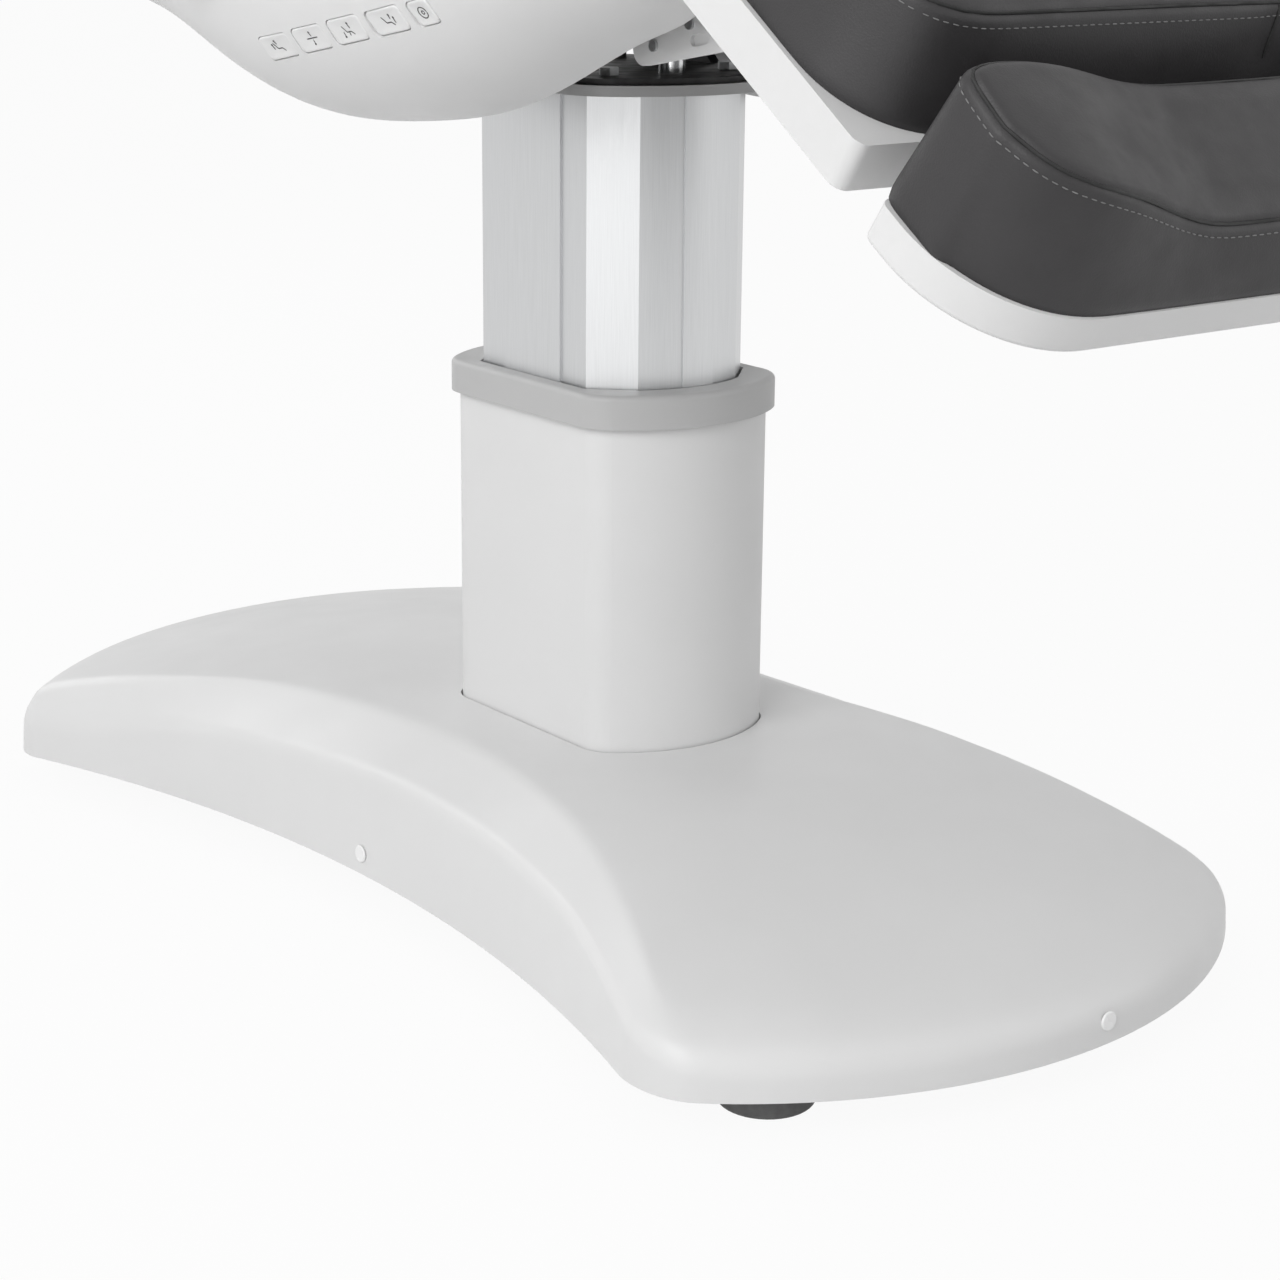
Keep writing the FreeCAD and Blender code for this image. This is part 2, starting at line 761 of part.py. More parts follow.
    tilt_tube = rod((0, tilt_rod_y, inner_top - tilt_tube_length), (0, 0, 1), tilt_tube_r, tilt_tube_length)
    tilt_bore = rod((0, tilt_rod_y, inner_top - tilt_tube_length + tube_floor), (0, 0, 1),
                    tilt_rod_r + running_gap, tilt_tube_length)
    tilt_tube = tilt_tube.cut(tilt_bore)
    arm = tilt_pivot_y - tilt_rod_y
    pin_z = tilt_pivot_z + arm * math.tan(math.radians(seat_tilt))
    low = inner_top - tilt_rod_below
    tilt_rod = rod((0, tilt_rod_y, low), (0, 0, 1), tilt_rod_r, pin_z - tilt_neck - low)
    eye = rod((-eye_half, tilt_rod_y, pin_z), (1, 0, 0), eye_r, 2 * eye_half)
    neck = box((-eye_half, tilt_rod_y - eye_half, pin_z - tilt_neck),
               (eye_half, tilt_rod_y + eye_half, pin_z))
    cross = eye_half + 2 * lever_thick + running_gap
    cross_pin = rod((-cross, tilt_rod_y, pin_z), (1, 0, 0), cross_pin_r, 2 * cross)
    tilt_rod = joined([tilt_rod, neck, eye, cross_pin])

    export("outer_column", outer)
    export("column_ring", ring)
    export("glide_strips", Part.makeCompound(glides))
    export("lift_actuator", lift)
    export("inner_column", inner)
    export("lift_rod", lift_rod)
    export("head_plate", plate)
    export("tilt_bracket", bracket)
    export("tilt_pins", Part.makeCompound(pair(pin)))
    export("head_bolts", Part.makeCompound(bolts))
    export("tilt_actuator", tilt_tube)
    export("tilt_rod", tilt_rod)


def lever_pair(hinge_y, x, middle, slot_gap, root_y, root_side, swing):
    """Two bars from a cross tube, with a slot that points at the hinge line, at middle degrees
    from straight down. They are cut back from the shells over the whole swing."""
    angle = math.radians(middle)
    way = (-math.sin(angle), -math.cos(angle))
    side = (way[1], -way[0])
    slot_half = cross_pin_r + slot_gap
    half = slot_half + slot_wall
    near = actuator_drop - slot_gap
    far = actuator_drop / math.cos(angle) + slot_gap

    def at(along, across):
        return (hinge_y + way[0] * along + side[0] * across, hinge_z + way[1] * along + side[1] * across)

    start = near - half
    tip = far + half
    blade = [at(start, -half), at(tip, -half), at(tip, half), at(start, half)]
    root = [(root_y, swing_bottom), (root_y, shell_bottom),
            at(start, root_side * half), at(tip, root_side * half)]
    slot = [at(near, -slot_half), at(far, -slot_half), at(far, slot_half), at(near, slot_half)]
    reach = 2 * actuator_drop
    above = box((x - reach, hinge_y - reach, shell_bottom - lug_gap),
                (x + reach, hinge_y + reach, hinge_z + reach))
    bars = []
    for inner in (x + eye_half + running_gap, x - eye_half - running_gap - lever_thick):
        bar = plate_x(blade, inner, inner + lever_thick).fuse(plate_x(root, inner, inner + lever_thick))
        bar = bar.cut(plate_x(slot, inner, inner + lever_thick))
        for along in (near, far):
            y, z = at(along, 0.0)
            bar = bar.cut(rod((inner, y, z), (1, 0, 0), slot_half, lever_thick))
        bar = bar.cut(above).cut(turned(above, -swing, hinge_y, hinge_z))
        bars.append(bar.removeSplitter())
    return bars


def swing_frame(hinge_y, away, lever, cross_places, rail_end):
    """The frame of the leg rest or back rest: rails, cross tubes, hinge lugs and actuator lever."""
    pieces = []
    rail_y = sorted((hinge_y + away * swing_start, hinge_y + away * rail_end))
    rail = box((swing_inner, rail_y[0], swing_bottom), (swing_outer, rail_y[1], shell_bottom))
    hollow = box((swing_inner + rail_wall, rail_y[0] + rail_wall, swing_bottom + rail_wall),
                 (swing_outer - rail_wall, rail_y[1] - rail_wall, shell_bottom - rail_wall))
    pieces += pair(rail.cut(hollow))
    root = swing_start + swing_width
    pieces += pair(hinge_lug(hinge_y, away, swing_lug_inner, shell_bottom, swing_bottom, root))
    for place in cross_places:
        low = hinge_y + away * place - swing_width / 2
        pieces.append(box((-swing_inner, low, swing_bottom), (swing_inner, low + swing_width, shell_bottom)))
    return joined(pieces + lever)


def hinge_lug(hinge_y, away, inner, root_top, root_low, root):
    """A hinge plate at +X: an eye on the hinge line, and a root that runs away along the frame."""
    points = [(hinge_y + away * root, root_low), (hinge_y + away * root, root_top),
              (hinge_y + away * (end_cut - lug_gap), root_top), (hinge_y + away * lug_r, hinge_z),
              (hinge_y - away * lug_r, hinge_z), (hinge_y + away * lug_slant, root_low)]
    web = plate_x(points, inner, inner + lug_thick)
    eye = rod((inner, hinge_y, hinge_z), (1, 0, 0), lug_r, lug_thick)
    bore = rod((inner, hinge_y, hinge_z), (1, 0, 0), hinge_pin_r + pin_gap, lug_thick)
    return web.fuse(eye).removeSplitter().cut(bore)


def hinge_pins(hinge_y):
    end = swing_lug_inner + lug_thick
    shank = rod((rail_outer, hinge_y, hinge_z), (1, 0, 0), hinge_pin_r, end - rail_outer)
    heads = [rod((x, hinge_y, hinge_z), (1, 0, 0), hinge_head_r, hinge_head - lug_gap / 2)
             for x in (rail_outer - hinge_head, end + lug_gap / 2)]
    necks = [rod((x, hinge_y, hinge_z), (1, 0, 0), hinge_pin_r, lug_gap / 2)
             for x in (rail_outer - lug_gap / 2, end)]
    return Part.makeCompound(pair(joined([shank] + heads + necks)))


def bowed(a, b, sag):
    """A side from a to b, drawn in towards x = 0 by sag at its middle."""
    if sag == 0:
        return line(a, b)
    middle = (a + b) / 2
    return arc(a, middle - vec(math.copysign(sag, middle.x), 0, 0), b)


def plan_wire(front, rear, y_front, y_rear, front_r, rear_r, z, sag=0.0):
    """A panel's plan: half-widths at its two ends, rounded corners, sides drawn in by sag."""
    bend = 1 - math.sqrt(0.5)
    edges = []

    def at(x, y):
        return vec(x, y, z)

    edges.append(line(at(front_r - front, y_front), at(front - front_r, y_front)))
    edges.append(arc(at(front - front_r, y_front), at(front - bend * front_r, y_front + bend * front_r),
                     at(front, y_front + front_r)))
    edges.append(bowed(at(front, y_front + front_r), at(rear, y_rear - rear_r), sag))
    edges.append(arc(at(rear, y_rear - rear_r), at(rear - bend * rear_r, y_rear - bend * rear_r),
                     at(rear - rear_r, y_rear)))
    edges.append(line(at(rear - rear_r, y_rear), at(rear_r - rear, y_rear)))
    edges.append(arc(at(rear_r - rear, y_rear), at(bend * rear_r - rear, y_rear - bend * rear_r),
                     at(-rear, y_rear - rear_r)))
    edges.append(bowed(at(-rear, y_rear - rear_r), at(-front, y_front + front_r), sag))
    edges.append(arc(at(-front, y_front + front_r), at(bend * front_r - front, y_front + bend * front_r),
                     at(front_r - front, y_front)))
    return Part.Wire(edges)


class Panel:
    """Half-widths, ends and corner radii of a shell at one height."""

    def __init__(self, front, rear, y_front, y_rear, front_r, rear_r):
        self.sizes = (front, rear, y_front, y_rear, front_r, rear_r)

    def wire(self, z, inset=0.0, sag=0.0):
        front, rear, y_front, y_rear, front_r, rear_r = self.sizes
        return plan_wire(front - inset, rear - inset, y_front + inset, y_rear - inset,
                         front_r - inset, rear_r - inset, z, sag)


def tray(low, high, core_low, core_high, z_low, z_high, edge_r):
    """An open shell with a floor, hollow within its core, and the plug that fills the hollow
    with a little room."""
    body = Part.makeLoft([low.wire(z_low), high.wire(z_high)], True, True)
    if edge_r:
        bottom = [edge for edge in body.Edges if abs(edge.BoundBox.ZMax - z_low) < pin_gap]
        body = body.makeFillet(edge_r, bottom)
    floor = z_low + shell_wall
    hollow = Part.makeLoft([core_low.wire(floor, shell_wall), core_high.wire(z_high, shell_wall)], True, True)
    room = shell_wall + pad_fit
    plug = Part.makeLoft([core_low.wire(floor + pad_fit, room), core_high.wire(z_high, room)], True, True)
    return body.cut(hollow), plug


def under(top_edges, y_low, y_high, z_low):
    """Everything below a line of edges across X, between two places along Y."""
    first = top_edges[0].Vertexes[0].Point
    last = top_edges[-1].Vertexes[-1].Point
    corners = [last, vec(last.x, y_low, z_low), vec(first.x, y_low, z_low), first]
    sides = [line(corners[i], corners[i + 1]) for i in range(len(corners) - 1)]
    return Part.Face(Part.Wire(top_edges + sides)).extrude(vec(0, y_high - y_low, 0))


def three_point(points, y):
    a, middle, b = [vec(x, y, z) for x, z in points]
    return arc(a, middle, b)


def leg_top(y):
    """Two leg hollows with a ridge between them."""
    top = hinge_z + pad_top
    edge = (shell_half, top + bolster_crown)
    dip = (leg_dip_x, top - leg_dip)
    ridge = (0.0, top - leg_ridge)
    left = [(-edge[0], edge[1]), (-dip[0], dip[1]), ridge]
    right = [ridge, dip, edge]
    return [three_point(left, y), three_point(right, y)]


def bolstered_top(y, top, dip, bolster_x, half):
    """A hollow between two crowned bolsters."""
    crown_x = (bolster_x + half) / 2
    outer = (half, top - bolster_crown)
    left = [(-outer[0], outer[1]), (-crown_x, top + bolster_crown), (-bolster_x, top)]
    middle = [(-bolster_x, top), (0.0, top - dip), (bolster_x, top)]
    right = [(bolster_x, top), (crown_x, top + bolster_crown), outer]
    return [three_point(points, y) for points in (left, middle, right)]


def crowned_pad(low, high, z_low, z_high, top_edges, reach, plug):
    """Leaning walls with drawn-in sides under a shaped top, on the plug that sits in the shell."""
    plans = [low.wire(z_low, 0.0, pad_draw_in), high.wire(z_high, 0.0, pad_draw_in)]
    block = Part.makeLoft(plans, True, True)
    pad = block.common(under(top_edges, reach[0], reach[1], z_low))
    rim = [edge for edge in pad.Edges if edge.BoundBox.ZMin > z_low + pad_edge_r]
    pad = pad.makeFillet(pad_edge_r, rim)
    if plug is None:
        return pad
    return pad.fuse(plug).removeSplitter()


def hinge_step(z):
    """How far a shell or pad stands back from its hinge line at a height."""
    share = (z - shell_bottom) / shell_depth
    return end_cut + (pad_end - end_cut) * min(share, 1.0)


def make_seat():
    front, rear = knee_y, back_y
    pieces = []
    rail_y = (front + rail_setback, rear - rail_setback)
    rail = box((rail_inner, rail_y[0], rail_bottom), (rail_outer, rail_y[1], shell_bottom))
    hollow = box((rail_inner + rail_wall, rail_y[0] + rail_wall, rail_bottom + rail_wall),
                 (rail_outer - rail_wall, rail_y[1] - rail_wall, shell_bottom - rail_wall))
    boss_x = tilt_plate_inner + tilt_plate_thick + lug_gap
    boss = rod((boss_x, tilt_pivot_y, tilt_pivot_z), (1, 0, 0), tilt_boss_r, rail_inner + rail_wall - boss_x)
    pin_bore = rod((0, tilt_pivot_y, tilt_pivot_z), (1, 0, 0), tilt_pin_r + pin_gap,
                   rail_inner + tilt_pin_grip + running_gap)
    side = joined([rail.cut(hollow), boss,
                   hinge_lug(front, 1, rail_outer, shell_bottom, rail_bottom, lug_root),
                   hinge_lug(rear, -1, rail_outer, shell_bottom, rail_bottom, lug_root)]).cut(pin_bore)
    pieces += pair(side)
    arm = tilt_pivot_y - tilt_rod_y
    slot_y = tilt_pivot_y - arm / math.cos(math.radians(seat_tilt))
    ties = [rail_y[0] + tie_width, slot_y - tie_width / 2, tilt_pivot_y - tilt_boss_r - tie_width]
    for low in ties:
        pieces.append(box((-rail_inner, low, tie_bottom), (rail_inner, low + tie_width, shell_bottom)))
    slot_half = cross_pin_r + tilt_slot_gap
    for inner in (eye_half + running_gap, -eye_half - running_gap - lever_thick):
        ear = box((inner, slot_y - tie_width / 2, tilt_pivot_z - slot_half - slot_wall),
                  (inner + lever_thick, slot_y + tie_width / 2, tie_bottom))
        slot = box((inner, slot_y - tilt_slot_half + slot_half, tilt_pivot_z - slot_half),
                   (inner + lever_thick, slot_y + tilt_slot_half - slot_half, tilt_pivot_z + slot_half))
        ear = ear.cut(slot)
        for end in (-1, 1):
            ear = ear.cut(rod((inner, slot_y + end * (tilt_slot_half - slot_half), tilt_pivot_z), (1, 0, 0),
                              slot_half, lever_thick))
        pieces.append(ear)
    post_outer = arm_post_inner + arm_post_thick
    bar = box((rail_outer, arm_bar_y, shell_bottom - arm_bar_height),
              (arm_post_inner, arm_bar_y + arm_bar_width, shell_bottom))
    post = box((arm_post_inner, arm_bar_y, shell_bottom - arm_bar_height),
               (post_outer, arm_bar_y + arm_bar_width, arm_pivot_z + arm_post_over))
    post_y = arm_bar_y + arm_bar_width / 2
    bore = rod((arm_post_inner, post_y, arm_pivot_z), (1, 0, 0), arm_pin_r + pin_gap, arm_post_thick)
    pieces += pair(bar.fuse(post).removeSplitter().cut(bore))
    frame = joined(pieces)

    low = Panel(shell_half, shell_half, front + end_cut, rear - end_cut, hinge_corner_r, hinge_corner_r)
    step = hinge_step(rim_z)
    high = Panel(shell_half, shell_half, front + step, rear - step, hinge_corner_r, hinge_corner_r)
    shell, plug = tray(low, high, low, high, shell_bottom, rim_z, 0.0)
    pad_high = hinge_z + pad_top + 2 * bolster_crown
    pad_low = Panel(shell_half - pad_step, shell_half - pad_step, front + step, rear - step,
                    hinge_corner_r, hinge_corner_r)
    pad_up = Panel(shell_half - pad_lean, shell_half - pad_lean, front + pad_end, rear - pad_end,
                   shell_corner_r, shell_corner_r)
    top = bolstered_top(front, hinge_z + pad_top, seat_dip, seat_bolster_x, shell_half)
    pad = crowned_pad(pad_low, pad_up, rim_z, pad_high, top, (front, rear), plug)

    control = box((control_inner, control_front, shell_bottom - control_height),
                  (control_inner + control_width, control_front + control_length, shell_bottom))
    rims = [edge for edge in control.Edges if edge.BoundBox.ZMax < shell_bottom - pin_gap]
    control = control.makeFillet(shell_edge_r, rims)

    export("seat_frame", on_seat(frame))
    export("seat_shell", on_seat(shell))
    export("seat_pad", on_seat(pad))
    export("control_box", on_seat(control))
    export("knee_pins", on_seat(hinge_pins(front)))
    export("back_pins", on_seat(hinge_pins(rear)))


def actuator(x, length, bore_start):
    """A motor with its gearbox under a tube along Y, held by a saddle under the seat ties."""
    tube = rod((x, tube_front, actuator_z), (0, 1, 0), actuator_tube_r, length)
    motor_z = actuator_z - motor_drop
    motor = rod((x, tube_front, motor_z), (0, 1, 0), motor_r, motor_length)
    gear_box = box((x - saddle_half, tube_front, motor_z),
                   (x + saddle_half, tube_front + motor_length, actuator_z))
    saddle_y = tilt_rod_y - tie_width / 2
    saddle = box((x - saddle_half, saddle_y, actuator_z), (x + saddle_half, saddle_y + tie_width, tie_bottom))
    bore = rod((x, bore_start, actuator_z), (0, 1, 0), actuator_rod_r + running_gap, length - tube_floor)
    return joined([tube, motor, gear_box, saddle]).cut(bore)


def actuator_rod(x, pin_y, way, length):
    """A rod with an eye and a cross pin at pin_y; the rod runs back into its tube."""
    start = pin_y - way * rod_neck
    shank = rod((x, start, actuator_z), (0, -way, 0), actuator_rod_r, length - rod_neck)
    eye = rod((x - eye_half, pin_y, actuator_z), (1, 0, 0), eye_r, 2 * eye_half)
    neck_y = sorted((pin_y, start))
    neck = box((x - eye_half, neck_y[0], actuator_z - eye_half),
               (x + eye_half, neck_y[1], actuator_z + eye_half))
    half = eye_half + 2 * lever_thick
    pin = rod((x - half, pin_y, actuator_z), (1, 0, 0), cross_pin_r, 2 * half)
    return joined([shank, neck, eye, pin])


def make_actuators():
    leg_angle = math.radians(leg_drop + seat_tilt - leg_middle)
    leg_pin = knee_y + actuator_drop * math.tan(leg_angle) + leg_pin_lead
    back_angle = math.radians(back_rise + seat_tilt - back_middle)
    back_pin = back_y + actuator_drop * math.tan(back_angle) + back_pin_lead
    export("leg_actuator", on_seat(actuator(actuator_x, leg_tube_length, tube_front)))
    back_tube = actuator(-actuator_x, back_tube_length, tube_front + tube_floor)
    export("back_actuator", on_seat(back_tube))
    export("leg_rod", on_seat(actuator_rod(actuator_x, leg_pin, -1, leg_rod_length)))
    export("back_rod", on_seat(actuator_rod(-actuator_x, back_pin, 1, back_rod_length)))


def make_leg_rest():
    end_rail = leg_length - shell_corner_r / 2
    far_cross = leg_length - swing_width
    near_cross = swing_start + swing_width / 2
    lever = lever_pair(knee_y, actuator_x, leg_middle, leg_slot_gap, knee_y - near_cross, 1, 2 * leg_middle)
    frame = swing_frame(knee_y, -1, lever, (near_cross, far_cross), end_rail)
    tube_y = leg_end_y + pad_fit
    tube_length = leg_length - near_cross - pad_fit
    tube_z = shell_bottom - swing_height / 2
    tube = rod((foot_rod_x, tube_y, tube_z), (0, 1, 0), foot_tube_r, tube_length)
    bore_length = tube_length - swing_width
    bore = rod((foot_rod_x, tube_y, tube_z), (0, 1, 0), foot_rod_r + running_gap, bore_length)
    frame = joined([frame] + pair(tube))
    for hole in pair(bore):
        frame = frame.cut(hole)

    step = hinge_step(rim_z)
    low = Panel(shell_half, shell_half, leg_end_y, knee_y - end_cut, leg_corner_r, hinge_corner_r)
    high = Panel(shell_half, shell_half, leg_end_y, knee_y - step, leg_corner_r, hinge_corner_r)
    core_low = Panel(shell_half, shell_half, leg_end_y, knee_y - end_cut, leg_pad_corner_r, hinge_corner_r)
    core_high = Panel(shell_half, shell_half, leg_end_y, knee_y - step, leg_pad_corner_r, hinge_corner_r)
    shell, plug = tray(low, high, core_low, core_high, shell_bottom, rim_z, 0.0)
    pad_low = Panel(shell_half - pad_step, shell_half - pad_step, leg_end_y + pad_step, knee_y - step,
                    leg_pad_corner_r, hinge_corner_r)
    pad_up = Panel(shell_half - pad_lean, shell_half - pad_lean, leg_end_y + leg_end_lean, knee_y - pad_end,
                   shell_corner_r, shell_corner_r)
    pad_high = hinge_z + pad_top + 2 * bolster_crown
    pad = crowned_pad(pad_low, pad_up, rim_z, pad_high, leg_top(leg_end_y), (leg_end_y, knee_y), plug)

    export("leg_frame", on_leg(frame))
    export("leg_shell", on_leg(shell))
    export("leg_pad", on_leg(pad))


def make_foot_rest():
    bottom = shell_bottom - foot_drop
    rim = bottom + foot_rim
    low = Panel(shell_half, shell_half, foot_front_edge, foot_rear_edge, foot_corner_r, foot_heel_r)
    core = Panel(shell_half, shell_half, foot_front_edge, foot_rear_edge, foot_corner_r, foot_rear_r)
    shell, plug = tray(low, low, core, core, bottom, rim, foot_edge_r)
    pad_high = hinge_z + foot_bolster + bolster_crown
    pad_low = Panel(shell_half - pad_step, shell_half - pad_step, foot_front_edge - pad_step / 2,
                    foot_rear_edge + foot_overhang, foot_corner_r, foot_rear_r)
    pad_up = Panel(shell_half - foot_lean, shell_half - foot_lean, foot_front_edge + foot_front_lean,
                   foot_rear_edge + foot_overhang, foot_top_corner_r, foot_rear_r)
    block = Part.makeLoft([pad_low.wire(rim), pad_up.wire(pad_high)], True, True)
    sections = []
    half = shell_half + pad_step
    front_y = foot_front_edge - pad_step
    rear_y = foot_rear_edge + foot_rear_r
    bolster = (foot_bolster, foot_front_side)
    hollow = (foot_middle_rear, foot_front_low)
    for x, (rear_z, front_z) in ((-half, bolster), (-leg_dip_x, hollow), (0.0, hollow), (leg_dip_x, hollow),
                                 (half, bolster)):
        corners = [vec(x, front_y, rim), vec(x, rear_y, rim), vec(x, rear_y, hinge_z + rear_z),
                   vec(x, front_y, hinge_z + front_z)]
        sections.append(Part.makePolygon(corners + corners[:1]))
    top = Part.makeLoft(sections, True, False)
    pad = block.common(top)
    upper = [edge for edge in pad.Edges if edge.BoundBox.ZMin > rim + pad_edge_r / 2]
    pad = pad.makeFillet(pad_edge_r, upper)
    pad = pad.fuse(plug).removeSplitter()

    rod_z = shell_bottom - swing_height / 2
    start = foot_rear_edge - foot_length / 2
    rods = pair(rod((foot_rod_x, start, rod_z), (0, 1, 0), foot_rod_r, foot_rod_length))
    plate = box((-foot_rod_x - foot_tube_r, start, bottom - foot_plate_thick),
                (foot_rod_x + foot_tube_r, foot_rear_edge - foot_rear_r, bottom))
    export("foot_shell", on_leg(shell))
    export("foot_pad", on_leg(pad))
    export("foot_rods", on_leg(joined([plate] + rods)))


def make_back_rest():
    near_cross = swing_start + swing_width / 2
    far_cross = back_length - back_cross_inset
    end_rail = back_length - swing_width
    lever = lever_pair(back_y, -actuator_x, back_middle, back_slot_gap, back_y + near_cross, -1, 0.0)
    frame = swing_frame(back_y, 1, lever, (near_cross, far_cross), end_rail)
    tube_z = shell_bottom - swing_height / 2
    tube_length = headrest_rod_inside + running_gap
    tube_y = back_end_y - tube_length
    tube = rod((headrest_rod_x, tube_y, tube_z), (0, 1, 0), headrest_tube_r, tube_length)
    bore = rod((headrest_rod_x, tube_y, tube_z), (0, 1, 0), headrest_rod_r + running_gap, tube_length)
    frame = joined([frame] + pair(tube))
    for hole in pair(bore):
        frame = frame.cut(hole)

    low = Panel(shell_half, back_top_half, back_y + end_cut, back_end_y, hinge_corner_r, shell_corner_r)
    high = Panel(shell_half, back_top_half, back_y + back_step, back_end_y, hinge_corner_r, shell_corner_r)
    shell, plug = tray(low, high, low, high, shell_bottom, rim_z, 0.0)
    pad_low = Panel(shell_half - pad_step, back_top_half - pad_step, back_y + back_step,
                    back_end_y - pad_step, hinge_corner_r, shell_corner_r)
    pad_up = Panel(shell_half - pad_lean, back_top_half - pad_lean, back_y + back_step,
                   back_end_y - leg_end_lean, shell_corner_r, shell_corner_r)
    top = hinge_z + pad_top + back_bolster_rise
    pad_high = top + 2 * bolster_crown
    edges = bolstered_top(back_y, top, back_dip, seat_bolster_x, shell_half)
    pad = crowned_pad(pad_low, pad_up, rim_z, pad_high, edges, (back_y, back_end_y), plug)

    pad_y = back_end_y + headrest_gap
    low_z = hinge_z + headrest_low
    board = box((-headrest_half + headrest_corner_r, pad_y + headrest_tube_r, low_z - shell_wall),
                (headrest_half - headrest_corner_r, pad_y + headrest_length - headrest_tube_r, low_z))
    plate = box((-headrest_rod_x - headrest_tube_r, pad_y + headrest_tube_r, tube_z - headrest_rod_r),
                (headrest_rod_x + headrest_tube_r, pad_y + 2 * headrest_tube_r, low_z - shell_wall))
    rod_length = headrest_rod_inside + headrest_gap + 2 * headrest_tube_r
    rod_y = back_end_y - headrest_rod_inside
    rods = pair(rod((headrest_rod_x, rod_y, tube_z), (0, 1, 0), headrest_rod_r, rod_length))
    rest_low = Panel(headrest_half, headrest_half, pad_y, pad_y + headrest_length, headrest_corner_r,
                     headrest_corner_r)
    rest_up = Panel(headrest_half - pad_lean, headrest_half - pad_lean, pad_y + pad_lean,
                    pad_y + headrest_length - pad_lean, headrest_corner_r, headrest_corner_r)
    high_z = hinge_z + headrest_high
    across = [(-headrest_half, high_z), (0.0, high_z - headrest_dip), (headrest_half, high_z)]
    edges = [three_point(across, pad_y)]
    rest = crowned_pad(rest_low, rest_up, low_z, high_z + bolster_crown, edges,
                       (pad_y, pad_y + headrest_length), None)

    export("back_frame", on_back(frame))
    export("back_shell", on_back(shell))
    export("back_pad", on_back(pad))
    export("headrest_rods", on_back(joined([board, plate] + rods)))
    export("headrest_pad", on_back(rest))


def cover_arc(y, depth, inset):
    """The cover's rounded side at +X, from its widest line down by depth to its lower edge."""
    centre_x = cover_half - cover_round
    drop = depth - inset
    half = math.sqrt(0.5)
    radius = cover_round - inset
    return [vec(centre_x + radius, y, cover_widest),
            vec(centre_x + radius * half, y, cover_widest - drop * half),
            vec(centre_x, y, cover_widest - drop)]


def cover_section(y, depth):
    outer = cover_arc(y, depth, 0.0)
    inner = cover_arc(y, depth, cover_wall)
    top = shell_bottom - cover_widest
    outer_top = outer[0] + vec(0, 0, top)
    inner_top_edge = inner[0] + vec(0, 0, top)
    edges = [line(outer_top, outer[0]), arc(*outer), line(outer[2], inner[2]),
             arc(inner[2], inner[1], inner[0]), line(inner[0], inner_top_edge),
             line(inner_top_edge, outer_top)]
    return Part.Wire(edges)


def end_wall(place, way):
    """The flat wall that closes an end of the cover."""
    y, depth = place
    points = cover_arc(y, depth, cover_wall)
    top = vec(0, 0, shell_bottom - cover_widest)
    inner_top_corner = vec(points[2].x, y, shell_bottom)
    edges = [line(points[0] + top, points[0]), arc(*points), line(points[2], inner_top_corner),
             line(inner_top_corner, points[0] + top)]
    return Part.Face(Part.Wire(edges)).extrude(vec(0, way * cover_wall, 0))


def cover_depth(y):
    """How deep the cover is at a place along it."""
    for (y_low, depth_low), (y_high, depth_high) in zip(cover_depths, cover_depths[1:]):
        if y <= y_high:
            return depth_low + (depth_high - depth_low) * (y - y_low) / (y_high - y_low)


def button_frame(shape, y):
    """From flat, facing +X at the origin, to the leaning wall of the +X cover at y."""
    depth = cover_depth(y)
    turn = math.asin(button_drop / depth)
    lean = math.atan(math.tan(turn) * cover_round / depth)
    result = shape.copy()
    result.rotate(vec(0, 0, 0), vec(0, 1, 0), math.degrees(lean))
    result.translate(vec(cover_half - cover_round + cover_round * math.cos(turn), 0, button_z))
    return result


def button_block(y, width, height, depth, corner_r, proud):
    block = box((-depth, y - width / 2, -height / 2), (proud, y + width / 2, height / 2))
    corners = [edge for edge in block.Edges if edge.BoundBox.XLength > depth / 2]
    return block.makeFillet(corner_r, corners)


def button_places():
    places = []
    for index in range(button_count):
        last = index == button_count - 1
        width = button_narrow if last else button_width
        shift = (button_width - button_narrow) / 2 if last else 0.0
        places.append((button_first - button_pitch * index + shift, width))
    return places


